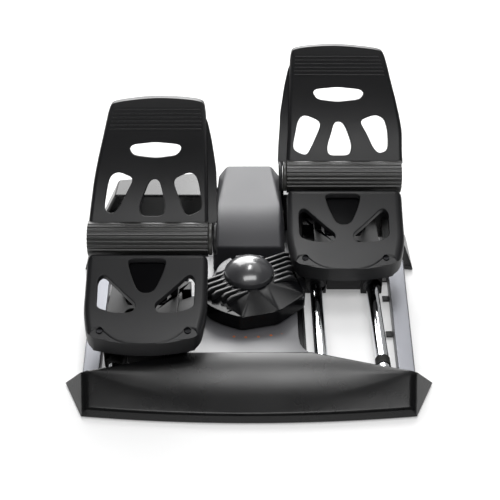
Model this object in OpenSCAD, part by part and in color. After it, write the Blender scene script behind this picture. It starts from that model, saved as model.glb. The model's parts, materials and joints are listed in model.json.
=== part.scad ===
/* [Base] */
// From an outer rail's axis to the wing tip of the front bar
front_overhang = 50.75; // [46:0.25:56]
// From an outer rail's axis to the wing tip of the rear bar
rear_overhang = 53.75; // [50:0.25:58]
// Depth of the front bar at its middle
front_depth = 75.5; // [72:0.5:84]
// Depth of the rear bar at its middle
rear_depth = 61.5; // [58:0.5:70]
// Height of the front bar at its rear edge
front_bar_h = 30; // [29:0.5:33]
// Height of the front bar at its front edge
front_edge_h = 11; // [9:0.5:14]
// Height of the rear bar
rear_bar_h = 66; // [60:1:70]
// Wall of the plastic covers
wall = 2.6; // [2:0.1:3]
// Height of the covers above the floor
foot_h = 2; // [1.5:0.1:2.5]

/* [Spine] */
// Width of the spine at its foot
spine_w = 82; // [76:1:84]
// Height of the top of the spine
spine_h = 70; // [68:1:76]
// From the rotor axis to the front wall of the spine
spine_front = 44; // [43:0.5:48]

/* [Rails] */
// Diameter of a rail
rail_d = 14; // [12:0.5:14.5]
// Distance between the two rails under a pedal
rail_gap = 63.5; // [62:0.5:65]
// Height of the rail axes
rail_z = 15.5; // [15:0.1:16]
// From the middle of the base to the middle of a pedal
pedal_x = 107.5; // [107:0.5:109]
// Travel of a pedal along its rails
stroke = 125; // [115:1:126]

/* [Rotor] */
// Diameter of the domed cap
dome_d = 54; // [50:1:58]
// Height of the dome above its edge
dome_rise = 14; // [10:0.5:16]
// Width of the rotor arm
arm_w = 18; // [16:0.5:18]
// Diameter of the arm pins
pin_d = 10; // [8:0.5:10]
// Diameter of the rotor axle
axle_d = 10; // [8:0.5:11]

/* [Pedals] */
// Width of a pedal at its ribbed band
pedal_w = 128; // [122:1:129]
// Height of the front rim's lower edge
rim_z = 38; // [38:0.5:40]
// Thickness of the pedal faces
face_t = 5; // [4:0.5:5.5]
// Radius of the ribbed band
band_r = 19.5; // [19:0.1:19.7]
// Diameter of the toe hinge axle
hinge_d = 8; // [6:0.5:9]
// Height of the toe hinge above the floor
hinge_z = 100; // [99.5:0.1:100.5]
// Width of the upper slot
slot_w = 56; // [50:1:58]
// Height of the upper slot
slot_h = 16; // [13:0.5:18]

/* [Hidden] */
$fn = 48;

// Colours
charcoal = "#2b2b2e";
black_plastic = "#161618";
dark_grey = "#3a3a3d";
panel_grey = "#9a9a9c";
steel = "#c9ccd0";
pale_pom = "#d8d6cc";
rubber_black = "#101010";

// Clearances: overrun of cuts, seat between parts of one body, running fit, gap between bodies
cut = 1;
seat = 0.3;
fit = 0.05;
press = 0.02;
gap = 1;

// Largest share of a side that a rounded corner takes
corner_share = 0.45;

// Rails, travel and the reach of the base
car_front = 46;
car_rear = 56;
rail_r = rail_d / 2;
inner_x = pedal_x - rail_gap / 2;
outer_x = pedal_x + rail_gap / 2;
front_w = 2 * (outer_x + front_overhang);
rear_w = 2 * (outer_x + rear_overhang);
front_face_y = stroke / 2 + car_front + 4 * gap;
rear_face_y = stroke / 2 + car_rear + 8 * gap;
front_reach = front_face_y + front_depth;
rear_reach = rear_face_y + rear_depth;
front_mid_y = front_face_y + front_depth / 2;
rear_mid_y = rear_face_y + rear_depth / 2;

// Front bar outline
wing_in = 22;
front_bow = 9.5;
front_draft = 3;
front_tip_back = front_depth - 17;
crest_back_end = front_depth - 29.5;
crest_mid_x = 65;
bow_steps = 6;
rear_face_lean = 2.5;
front_corner_x = front_w / 2 - wing_in;

// Rear bar outline
rear_face_foot = 5;
rear_top_in = 33;
rear_top_y = rear_reach - 25.5;
rear_top_mid_y = rear_reach - 5.5;
rear_top_drop = 2;
rear_end_y = rear_reach - 20;
rear_tip_x = rear_w / 2 - gap;
wing_y = rear_face_y - 62;
wing_inner_x = rear_w / 2 - 33;
wing_front_w = 14;
wing_front_h = 9;
wing_rear_h = 30;

// Side panels
panel_h = 16;
panel_t = 17;
panel_front_x = outer_x + 14.25;
panel_rear_x = outer_x + 21.25;

// Deck and tray
tray_half = inner_x - 14.25;
tray_t = 3;
deck_half = inner_x - 22.75;
deck_flare = inner_x - 12.75;
deck_z = 16.5;
tongue_z = 26;
tongue_y = 62;
flare_l = 10;
deck_front_y = front_face_y - rear_face_lean;

// Spine
spine_top_half = 36;
spine_rear_half = 27;
spine_chamfer = 12;
spine_nip = 4;
spine_slope = 31;
spine_bend = 24;
spine_bend_steps = 6;
spine_nose_z = 50;
spine_seat_z = 41;

// Rails and their ends
rail_inner_start = front_face_y + 15.5;
rail_outer_start = front_face_y + 28.5;
rail_end = rear_face_y + 19.5;
saddle_w = 22;
saddle_l = 8;
socket_w = 24;
socket_top = 27;
socket_l = 12;
buffer_r = 10.5;
buffer_inner_l = 1.2;
buffer_outer_l = 11.5;
buffer_rear_y = rear_face_y + 3;

// Feet and screws
foot_r = 9;
foot_x = outer_x + 10.75;
screw_r = 1.9;
screw_x = outer_x - 19.25;
boss_r = 4.5;
screw_mid_x = spine_w / 2 + 3 * boss_r;
head_r = 3.4;
head_h = 1.2;
screw_l = 7;

// Rotor heights and outline
bush_r = 8;
bush_boss_r = 12;
arm_z = 28;
arm_t = 6;
cover_top_t = 2.2;
rotor_lift = 1.5;
rotor_z = deck_z + rotor_lift;
arm_r = sqrt(pedal_x * pedal_x + stroke * stroke / 4);
rest_turn = atan(stroke / 2 / pedal_x);
hub_r = 16;
cover_shares = [[0, -1], [0.625, -0.83], [0.82, -0.55], [0.94, -0.28], [0.94, 0.25], [0.62, 0.3],
    [0.42, 0.5], [0.2, 0.6], [-0.2, 0.6], [-0.42, 0.5], [-0.62, 0.3], [-0.94, 0.25], [-0.94, -0.28],
    [-0.82, -0.55], [-0.625, -0.83]];
cover_past = 20;
cover_r = spine_front + cover_past;
hood_rise = 8.5;
hood_share = 0.78;
fin_count = 6;
fin_pitch = 8;
fin_mid_y = -6;
fin_t = 3.4;
fin_start = 16;
fin_end = 54;
fin_rake_share = 0.33;
fin_low = 6;
fin_h = 9.5;
collar_from = 19;
collar_out = 37;
collar_in = 28;
collar_h = 9;
notch_w = 5;
dome_edge_h = 14;
roller_t = 2;
slot_play = 1.3;

nut_z = arm_z + arm_t + press;
nut_t = 8;
nut_r = 9;

// Sensor puck, control board and cable inlet
sensor_h = 2;
board_half = 26;
board_y0 = rear_face_y - 42.5;
board_y1 = rear_face_y - 6.5;
board_z = 24;
board_t = 1.6;
stud_r = 3;
chip_w = 9;
chip_t = 1.5;
plug_h = 7;
gland_r = 7;
gland_y = rear_reach - 10;
gland_bore = 2.6;
gland_nut = 9.5;
gland_nut_t = 4;

// Carriage, in the pedal's own frame
house_w = 24;
house_z = 4.5;
house_h = 22;
bush_l = 22;
bush_wall = 3;
bridge_half_l = 30;
bridge_t = 4;
leg_w = 10;
leg_y = 41;
top_z = 36;
top_t = 4;
front_plate_t = 4;
front_plate_z = 10;
inner_cut = 12.5;

// Hinge, in the pedal's own frame
hinge_y = 53;
cheek_in = 22;
cheek_t = 8;
cheek_r = 11;
cheek_foot = 22;
cheek_toe = 3.7;
cheek_waist = 8;
lug_in = 38;
lug_t = 8;
lug_r = 17.5;
toe_bush_r = 7;
axle_half = 49;
ring_t = 1.5;
sensor_w = 6;
sensor_r = 9;
spring_r = 7.5;
spring_wire = 2.2;
spring_curls = 7;
spring_half = 17;
curl_rings = 8;
tube_sides = 6;
upright_share = 0.2;
leg_down = 11.7;
leg_up = 14.2;
bar_t = 4;

// Heel plate, in the pedal's own frame
heel_front = 66;
heel_start = [-65, 55];
heel_end = [33, 97.7];
heel_sag = 4.6;
heel_depth = 12;
side_wall = 3.5;
heel_steps = 10;
heel_nips = [0, 0, 2, 5];
heel_falls = [0, 55, 69, 83];
heel_corner = 11;
heel_corner_l = 9;
heel_bow = 9;
heel_bow_steps = 5;
heel_screw_x = 45;
heel_screw_y = -50;
heel_hole_r = 3.7;
heel_boss_r = 4;
heel_shank_r = 2;
heel_head_z = 56;

// Toe pad, in the pedal's own frame
toe_start = [56.5, 118.8];
toe_end = [117, 236];
toe_sag = 11.8;
toe_depth = 14;
toe_taper_share = 0.6;
toe_steps = 14;
groove_r = 0.9;
groove_count = 7;
groove_first = 96;
groove_pitch = 14;
band_t = 3;
band_from = 60;
band_to = 228;
band_steps = 8;
rib_count = 6;
rib_samples = 100;
rib_r = 1.1;
rib_from_share = 0.68;
rib_step_share = 0.05;
toe_top = 236;
flank_off = 6;
flank_depth = 15;

// Points along an arc from p to q that bulges by sag to the right, moved out by off, less at q by taper
function arc_points(p, q, sag, off, steps, taper_share = 0) =
    let (
        d = q - p,
        c = norm(d),
        r = (c * c / 4 + sag * sag) / (2 * sag),
        mid = (p + q) / 2,
        o = mid + [-d[1], d[0]] / c * (r - sag),
        a0 = atan2(p[1] - o[1], p[0] - o[0]),
        a1 = atan2(q[1] - o[1], q[0] - o[0])
    )
    [for (i = [0 : steps])
        let (k = i / steps, a = a0 + (a1 - a0) * k)
        o + (r + off * (1 - taper_share * k)) * [cos(a), sin(a)]];

function reversed(list) = [for (i = [len(list) - 1 : -1 : 0]) list[i]];

// A polygon's points with each corner rounded over a length r of its two sides
function rounded(pts, r, steps = 4) =
    [for (i = [0 : len(pts) - 1])
        let (
            v = pts[i],
            u = pts[(i + len(pts) - 1) % len(pts)],
            w = pts[(i + 1) % len(pts)],
            a = v + (u - v) / norm(u - v) * min(r, norm(u - v) * corner_share),
            b = v + (w - v) / norm(w - v) * min(r, norm(w - v) * corner_share)
        )
        for (k = [0 : steps]) let (t = k / steps) (1 - t) * (1 - t) * a + 2 * t * (1 - t) * v + t * t * b];

function half_turned(list) = [for (p = list) [-p[0], p[1]]];

// Sweeps a six-sided tube along points
module tube(path, r) {
    n = len(path);
    sides = tube_sides;
    rings = [for (i = [0 : n - 1])
        let (
            t = path[min(i + 1, n - 1)] - path[max(i - 1, 0)],
            d = t / norm(t),
            side = cross(d, [0, 1, 0]),
            other = cross(d, [0, 0, 1]),
            s = norm(side) > upright_share ? side / norm(side) : other / norm(other),
            u = cross(s, d)
        )
        for (k = [0 : sides - 1]) path[i] + r * (cos(360 * k / sides) * s + sin(360 * k / sides) * u)];
    sides_faces = [for (i = [0 : n - 2]) for (k = [0 : sides - 1])
        let (a = i * sides + k, b = i * sides + (k + 1) % sides)
        each [[a, a + sides, b], [b, a + sides, b + sides]]];
    caps = [for (k = [1 : sides - 2])
        each [[0, k, k + 1], [(n - 1) * sides, (n - 1) * sides + k + 1, (n - 1) * sides + k]]];
    polyhedron(points = rings, faces = concat(sides_faces, caps), convexity = 10);
}

// Solid drawn in the YZ plane and pulled along X from x0 to x1
module along_x(x0, x1) {
    translate([x0, 0, 0]) rotate([90, 0, 90]) linear_extrude(x1 - x0) children();
}

// Solid drawn in the XZ plane and pulled along Y from y0 to y1
module along_y(y0, y1) {
    translate([0, y1, 0]) rotate([90, 0, 0]) linear_extrude(y1 - y0) children();
}

module rod_x(r, x0, x1) {
    translate([x0, 0, 0]) rotate([0, 90, 0]) cylinder(r = r, h = x1 - x0);
}

module rod_y(r, y0, y1) {
    translate([0, y0, 0]) rotate([-90, 0, 0]) cylinder(r = r, h = y1 - y0);
}

module block(x0, x1, y0, y1, z0, z1) {
    translate([x0, y0, z0]) cube([x1 - x0, y1 - y0, z1 - z0]);
}

module hull_points(pts) {
    hull() polyhedron(points = pts, faces = [[for (i = [0 : len(pts) - 1]) i]]);
}

// Front bar, shrunk by t, standing on z0
function front_points(t, z0) = concat(
    [for (i = [-bow_steps : bow_steps]) let (k = i / bow_steps)
        [(front_corner_x - t) * k, t - front_reach + front_bow * k * k, z0]],
    [for (i = [-bow_steps : bow_steps]) let (k = i / bow_steps)
        [(front_corner_x - front_draft - t) * k, t + front_draft - front_reach + front_bow * k * k,
            front_edge_h - t]],
    [for (s = [-1, 1]) each [
        [s * (front_w / 2 - t), front_tip_back - front_reach - t, z0],
        [s * crest_mid_x, front_depth + rear_face_lean - front_reach - t, z0],
        [s * (front_corner_x - t), crest_back_end - front_reach - t / 2, front_bar_h - t],
        [s * crest_mid_x, front_depth - front_reach - t, front_bar_h - t]]]);

// Rear bar, shrunk by t, standing on z0
function rear_points(t, z0) = [for (s = [-1, 1]) each [
    [s * (rear_tip_x - t), rear_face_y + rear_face_foot + t, z0],
    [s * (rear_w / 2 - rear_top_in - t), rear_face_y + t, rear_bar_h - t],
    [s * (rear_w / 2 - rear_top_in - rear_top_drop - t), rear_top_y - t, rear_bar_h - rear_top_drop - t],
    [s * spine_w / 2, rear_top_mid_y - t, rear_bar_h - rear_top_drop - t],
    [s * (rear_tip_x - rear_face_foot - t), rear_end_y - t, z0],
    [s * spine_w / 2, rear_reach - t, z0]]];

// Forward-reaching wing of the rear bar on side s
function wing_points(s) = [
    [s * rear_w / 2, wing_y, foot_h],
    [s * (rear_w / 2 - gap), wing_y, foot_h + wing_front_h / 2],
    [s * (rear_w / 2 - wing_front_w), wing_y, foot_h + wing_front_h],
    [s * wing_inner_x, wing_y + rear_face_foot, foot_h + wing_front_h],
    [s * wing_inner_x, wing_y + rear_face_foot, foot_h],
    [s * rear_tip_x, rear_face_y + rear_face_foot + gap, foot_h],
    [s * wing_inner_x, rear_face_y + rear_face_foot + gap, foot_h],
    [s * wing_inner_x, rear_face_y + rear_face_foot, wing_rear_h],
    [s * (rear_tip_x - rear_top_in * wing_rear_h / rear_bar_h), rear_face_y + rear_face_foot, wing_rear_h]];

// Curved fold between the top and the front slope of the spine, as places along Y and Z
function spine_fold() =
    let (
        fold = [spine_front + spine_slope, spine_h],
        nose = [spine_front, spine_nose_z],
        a = fold + [spine_bend, 0],
        b = fold + (nose - fold) / norm(nose - fold) * spine_bend
    )
    [for (i = [0 : spine_bend_steps]) let (k = i / spine_bend_steps)
        (1 - k) * (1 - k) * a + 2 * k * (1 - k) * fold + k * k * b];

spine_taper_share = (spine_top_half - spine_rear_half) / (rear_reach - spine_front - spine_slope);

function spine_points(t, z0) = [for (s = [-1, 1]) each concat([for (p = spine_fold())
    [s * (spine_top_half - t - spine_taper_share * max(0, p[0] - spine_front - spine_slope)), p[0], p[1] - t]], [
    [s * (spine_rear_half - t), rear_reach - t, spine_h - t],
    [s * (spine_top_half - t), spine_front + t, spine_nose_z - t],
    [s * (spine_w / 2 - t), spine_front + spine_slope, spine_h - spine_chamfer - t / 2],
    [s * (spine_w / 2 - spine_nip - t), rear_reach - spine_nip - t, spine_h - spine_chamfer - t / 2],
    [s * (spine_w / 2 - t), spine_front + t, spine_nose_z - spine_chamfer / 2],
    [s * (spine_w / 2 - t), spine_front + t, z0],
    [s * (spine_w / 2 - t), rear_reach - spine_nip - t, z0]])];

// Screw places of the front and rear plates
screw_xs = [-screw_x, -screw_mid_x, screw_mid_x, screw_x];
front_screws = [for (x = screw_xs) [x, -front_mid_y]];
rear_screws = [for (x = screw_xs) [x, rear_mid_y]];
feet_places = [for (y = [-front_mid_y, rear_mid_y]) for (x = [-foot_x, 0, foot_x]) [x, y]];

module screw_bosses(places, top) {
    for (p = places) translate([p[0], p[1], foot_h + tray_t + seat]) cylinder(r = boss_r, h = top);
}

module screw_bores(places) {
    for (p = places) translate([p[0], p[1], foot_h]) cylinder(r = screw_r + press, h = screw_l + tray_t);
}

module rail_holes(r, y0, y1) {
    for (x = [-outer_x, -inner_x, inner_x, outer_x]) translate([x, 0, rail_z]) rod_y(r, y0, y1);
}

module front_bar() {
    color(charcoal) difference() {
        union() {
            difference() {
                hull_points(front_points(0, foot_h));
                hull_points(front_points(wall, foot_h - cut));
            }
            intersection() {
                hull_points(front_points(wall / 2, foot_h - cut));
                screw_bosses(front_screws, front_bar_h);
            }
        }
        screw_bores(front_screws);
        rail_holes(rail_r + seat, -rail_outer_start, -deck_front_y + cut);
    }
}

module front_plate() {
    color(black_plastic) difference() {
        intersection() {
            hull_points(front_points(wall + seat, foot_h - cut));
            block(-front_w, front_w, -front_reach, 0, foot_h, foot_h + tray_t);
        }
        for (p = front_screws) translate([p[0], p[1], foot_h - cut]) {
            cylinder(r = screw_r + seat, h = tray_t + 2 * cut);
            cylinder(r = head_r + seat, h = cut + head_h);
        }
    }
}

module rear_bar() {
    color(charcoal) difference() {
        union() {
            difference() {
                hull_points(rear_points(0, foot_h));
                hull_points(rear_points(wall, foot_h - cut));
            }
            intersection() {
                hull_points(rear_points(wall / 2, foot_h - cut));
                screw_bosses(rear_screws, rear_bar_h);
            }
        }
        screw_bores(rear_screws);
        rail_holes(rail_r + seat, rear_face_y, rail_end);
        block(-spine_w / 2 - seat, spine_w / 2 + seat, 0, rear_reach + cut, spine_seat_z - seat, spine_h);
        translate([0, 0, spine_seat_z / 2]) rod_y(gland_r + press, gland_y, rear_reach + cut);
    }
}

// Wing in front of the rear bar on side s
module rear_wing(s) {
    color(charcoal) difference() {
        hull_points(wing_points(s));
        hull_points(rear_points(-seat, foot_h - cut));
    }
}

module rear_plate() {
    color(black_plastic) difference() {
        intersection() {
            hull_points(rear_points(wall + seat, foot_h - cut));
            block(-rear_w, rear_w, 0, rear_reach, foot_h, foot_h + tray_t);
        }
        for (p = rear_screws) translate([p[0], p[1], foot_h - cut]) {
            cylinder(r = screw_r + seat, h = tray_t + 2 * cut);
            cylinder(r = head_r + seat, h = cut + head_h);
        }
    }
}

module centre_tray() {
    color(black_plastic) difference() {
        union() {
            block(-tray_half, tray_half, -deck_front_y + seat, rear_face_y + rear_face_foot - seat,
                foot_h, foot_h + tray_t);
            for (s = [-1, 1]) block(s * tray_half - (s + 1) / 2 * wall, s * tray_half + (1 - s) / 2 * wall,
                -deck_front_y + 2 * flare_l + seat, rear_face_y - seat, foot_h, foot_h + tray_t + wall);
            translate([0, 0, foot_h]) cylinder(r = bush_boss_r, h = deck_z - wall - seat - foot_h);
        }
        translate([0, 0, foot_h + tray_t]) cylinder(r = bush_r + press, h = deck_z);
    }
}

// Side outline of the deck, shrunk by t
module deck_side(t) {
    polygon([[-deck_front_y + seat + t, foot_h + tray_t + seat - (t > 0 ? cut : 0)],
        [rear_face_y - seat - t, foot_h + tray_t + seat - (t > 0 ? cut : 0)],
        [rear_face_y - seat - t, deck_z - t],
        [-tongue_y - t / 2, deck_z - t],
        [-deck_front_y - rear_face_lean + 2 * seat + t, tongue_z - t]]);
}

// Plan of the deck, shrunk by t
module deck_plan(t) {
    front_y = -deck_front_y - rear_face_lean;
    right = [[deck_flare - t, front_y], [deck_flare - t, front_y + flare_l / 3],
        [deck_half + flare_l / 4 - t, front_y + flare_l], [deck_half - t, front_y + 2 * flare_l],
        [deck_half - t, rear_face_y]];
    polygon(concat(right, reversed(half_turned(right))));
}

module centre_deck() {
    color(dark_grey) difference() {
        intersection() {
            along_x(-deck_flare, deck_flare) deck_side(0);
            linear_extrude(front_bar_h) deck_plan(0);
        }
        intersection() {
            along_x(-deck_flare, deck_flare) deck_side(wall);
            linear_extrude(front_bar_h) deck_plan(wall);
        }
        translate([0, 0, foot_h]) cylinder(r = bush_r + press, h = deck_z);
    }
    color(dark_grey) for (s = [-1, 1]) for (y = [board_y0 + stud_r, board_y1 - stud_r])
        translate([s * (board_half - stud_r), y, deck_z - wall / 2])
            cylinder(r = stud_r, h = board_z - deck_z + wall / 2 - seat / 3);
}

module spine_cover() {
    color("#8f8f93") difference() {
        hull_points(spine_points(0, deck_z + seat));
        hull_points(spine_points(wall, deck_z - cut));
        block(-spine_w, spine_w, rear_face_y - seat, rear_reach + cut, 0, spine_seat_z);
    }
}

module side_panel(s) {
    color(panel_grey) difference() {
        translate([0, 0, foot_h]) linear_extrude(panel_h) polygon([
            [s * panel_front_x, -rail_outer_start], [s * (panel_front_x + panel_t), -rail_outer_start],
            [s * (panel_rear_x + panel_t + front_draft), wing_y - seat], [s * panel_rear_x, wing_y - seat]]);
        hull_points(front_points(-2 * seat, foot_h - cut));
    }
}

module rail(x, y0) {
    color(steel) translate([x, 0, rail_z]) rod_y(rail_r, -y0, rail_end);
}

module front_saddles() {
    color(black_plastic) difference() {
        for (s = [-1, 1]) {
            block(s * inner_x - saddle_w / 2, s * inner_x + saddle_w / 2,
                -rail_inner_start, saddle_l - rail_inner_start, foot_h + tray_t, rail_z);
            block(s * outer_x - saddle_w / 2, s * outer_x + saddle_w / 2,
                -rail_outer_start, saddle_l - rail_outer_start, foot_h + tray_t, rail_z);
        }
        rail_holes(rail_r + press, -rail_outer_start - cut, -deck_front_y);
    }
}

module rear_sockets() {
    color(black_plastic) difference() {
        for (x = [-outer_x, -inner_x, inner_x, outer_x])
            block(x - socket_w / 2, x + socket_w / 2, rail_end - socket_l, rail_end + wall,
                foot_h + tray_t, socket_top);
        rail_holes(rail_r + press, rail_end - socket_l - cut, rail_end);
    }
}

module rubber_feet() {
    color(rubber_black) for (p = feet_places) translate([p[0], p[1], 0]) cylinder(r = foot_r, h = foot_h);
}

module base_screws() {
    color(steel) for (p = concat(front_screws, rear_screws)) translate([p[0], p[1], foot_h]) {
        cylinder(r = head_r, h = head_h);
        cylinder(r = screw_r, h = screw_l + tray_t - seat);
    }
}

module ring_y(r_out, r_in, y0, y1) {
    difference() {
        rod_y(r_out, y0, y1);
        rod_y(r_in, y0 - cut, y1 + cut);
    }
}

module front_buffers() {
    y1 = -stroke / 2 - car_front - seat;
    color(rubber_black) for (s = [-1, 1]) {
        translate([s * inner_x, 0, rail_z]) ring_y(buffer_r, rail_r + press, y1 - buffer_inner_l, y1);
        translate([s * outer_x, 0, rail_z]) ring_y(buffer_r, rail_r + press, y1 - buffer_outer_l, y1);
    }
}

module rear_buffers() {
    y0 = stroke / 2 + car_rear + seat;
    color(rubber_black) for (x = [-outer_x, -inner_x, inner_x, outer_x])
        translate([x, 0, rail_z]) ring_y(buffer_r, rail_r + press, y0, buffer_rear_y - seat);
}

module rotor_bush() {
    z0 = foot_h + tray_t + sensor_h + seat;
    color(pale_pom) difference() {
        translate([0, 0, z0]) cylinder(r = bush_r, h = deck_z - z0);
        cylinder(r = axle_d / 2 + fit, h = rotor_z);
    }
}

module rudder_sensor() {
    color("#2c5a3a") translate([0, 0, foot_h + tray_t]) cylinder(r = bush_r - seat, h = sensor_h);
}

module control_board() {
    top = board_z + board_t;
    color("#1f5c33") block(-board_half, board_half, board_y0, board_y1, board_z, top);
    color(black_plastic) block(-chip_w, chip_w, board_y0 + chip_w, board_y0 + 2 * chip_w, top, top + chip_t);
    color("#d9d6c8") block(-2 * chip_w, -chip_w - chip_t, board_y1 - chip_w, board_y1 - chip_t,
        top, top + plug_h);
}

module cable_gland() {
    color(rubber_black) translate([0, 0, spine_seat_z / 2]) difference() {
        union() {
            rod_y(gland_r, gland_y, rear_reach);
            rod_y(gland_nut, gland_y, gland_y + gland_nut_t);
        }
        rod_y(gland_bore, gland_y - cut, rear_reach + cut);
    }
}

module turned() {
    rotate([0, 0, rest_turn]) children();
}

module friction_washer() {
    color(pale_pom) translate([0, 0, deck_z + seat / 3]) difference() {
        cylinder(r = hub_r, h = rotor_z - deck_z - 2 * seat / 3);
        translate([0, 0, -cut]) cylinder(r = axle_d / 2 + fit, h = rotor_z);
    }
}

module rotor_arm() {
    color(dark_grey) turned() difference() {
        union() {
            translate([0, 0, rotor_z]) cylinder(r = hub_r, h = arm_z + arm_t - rotor_z);
            block(-arm_r, arm_r, -arm_w / 2, arm_w / 2, arm_z, arm_z + arm_t);
            for (s = [-1, 1]) translate([s * arm_r, 0, arm_z]) cylinder(r = arm_w / 2, h = arm_t);
        }
        cylinder(r = axle_d / 2 + press, h = spine_h);
        for (s = [-1, 1]) translate([s * arm_r, 0, 0]) cylinder(r = pin_d / 2 + press, h = spine_h);
    }
}

module cover_plan(r) {
    polygon([for (p = cover_shares) p * r]);
}

// Fin i of the cover on side s, standing from z0 to z1
module cover_fin(s, i, z0, z1) {
    y = (i - (fin_count - 1) / 2) * fin_pitch;
    x = fin_end + fin_rake_share * y;
    mirror([(1 - s) / 2, 0, 0]) along_y(fin_mid_y + y - fin_t / 2, fin_mid_y + y + fin_t / 2)
        polygon([[fin_start, z0], [x, z0], [x, z1 - fin_low / 2], [x - fin_low, z1], [fin_start, z1]]);
}

module rotor_cover() {
    top = arm_z + arm_t + seat;
    fins_z = top + cover_top_t;
    color(charcoal) turned() difference() {
        union() {
            difference() {
                translate([0, 0, rotor_z + gap]) linear_extrude(fins_z - rotor_z - gap) cover_plan(cover_r);
                translate([0, 0, rotor_z]) linear_extrude(top - rotor_z) cover_plan(cover_r - wall);
                block(-arm_r, arm_r, -arm_w / 2 - seat, arm_w / 2 + seat, rotor_z, top);
            }
            intersection() {
                translate([0, 0, fins_z]) cylinder(r1 = hood_share * cover_r, r2 = collar_in, h = hood_rise);
                linear_extrude(spine_h) cover_plan(cover_r);
            }
            for (s = [-1, 1]) for (i = [0 : fin_count - 1]) cover_fin(s, i, top + seat, fins_z + fin_h);
        }
        cylinder(r = hub_r - fin_low, h = spine_h);
        translate([0, 0, fins_z]) cylinder(r = dome_d / 2 + seat, h = spine_h);
        intersection() {
            translate([0, 0, fins_z]) cylinder(r = collar_out + seat, h = spine_h);
            block(-cover_r, cover_r, collar_from - seat, cover_r, fins_z, spine_h);
        }
    }
}

module collar_ring() {
    z = arm_z + arm_t + seat + cover_top_t;
    color(dark_grey) turned() translate([0, 0, z + press]) difference() {
        cylinder(r = collar_out, h = collar_h);
        translate([0, 0, -cut]) cylinder(r = collar_in, h = collar_h + 2 * cut);
        block(-collar_out - cut, collar_out + cut, -collar_out - cut, collar_from, -cut, collar_h + cut);
        block(-notch_w / 2, notch_w / 2, 0, collar_out + cut, collar_h - notch_w, collar_h + cut);
    }
}

module dome_cap() {
    z = arm_z + arm_t + seat + cover_top_t + press;
    r = dome_d / 2;
    ball = (r * r + dome_rise * dome_rise) / (2 * dome_rise);
    color("#6f6f73") translate([0, 0, z]) difference() {
        union() {
            cylinder(r = r, h = dome_edge_h);
            intersection() {
                translate([0, 0, dome_edge_h + dome_rise - ball]) sphere(r = ball, $fn = 96);
                translate([0, 0, dome_edge_h]) cylinder(r = r, h = dome_rise + cut);
            }
        }
        translate([0, 0, -cut]) cylinder(r = r - wall, h = dome_edge_h + cut);
    }
}

module rotor_axle() {
    color(steel) translate([0, 0, foot_h + tray_t + sensor_h + seat])
        cylinder(r = axle_d / 2, h = nut_z + nut_t + seat - foot_h - tray_t - sensor_h);
}

module rotor_nut() {
    color(steel) turned() translate([0, 0, nut_z]) difference() {
        cylinder(r = nut_r, h = nut_t, $fn = 6);
        translate([0, 0, -cut]) cylinder(r = axle_d / 2 + press, h = nut_t + 2 * cut);
    }
}

module rotor_pins() {
    color(steel) turned() for (s = [-1, 1]) translate([s * arm_r, 0, arm_z])
        cylinder(r = pin_d / 2, h = top_z + top_t + gap - arm_z);
}

module rotor_rollers() {
    color(pale_pom) turned() for (s = [-1, 1]) translate([s * arm_r, 0, arm_z + arm_t + seat]) difference() {
        cylinder(r = pin_d / 2 + roller_t, h = top_z + top_t - arm_z - arm_t);
        translate([0, 0, -cut]) cylinder(r = pin_d / 2 + fit, h = top_z);
    }
}

// Puts a pedal part on side s, with its own +X towards the middle of the base
module at_side(s) {
    translate([s * pedal_x, s * stroke / 2, 0]) mirror([(s + 1) / 2, 0, 0]) children();
}

module carriage(s) {
    color(black_plastic) at_side(s) difference() {
        union() {
            for (x = [-rail_gap / 2, rail_gap / 2])
                block(x - house_w / 2, x + house_w / 2, -car_front, car_rear, house_z, house_z + house_h);
            block(-rail_gap / 2, rail_gap / 2, -bridge_half_l, bridge_half_l, house_z, house_z + bridge_t);
        }
        for (x = [-rail_gap / 2, rail_gap / 2]) translate([x, 0, rail_z])
            rod_y(rail_r + bush_wall + press, -car_front - cut, car_rear + cut);
    }
}

module slide_bushes(s) {
    color(pale_pom) at_side(s) for (x = [-rail_gap / 2, rail_gap / 2]) translate([x, 0, rail_z]) {
        ring_y(rail_r + bush_wall, rail_r + fit, -car_front, bush_l - car_front);
        ring_y(rail_r + bush_wall, rail_r + fit, car_rear - bush_l, car_rear);
    }
}

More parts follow.
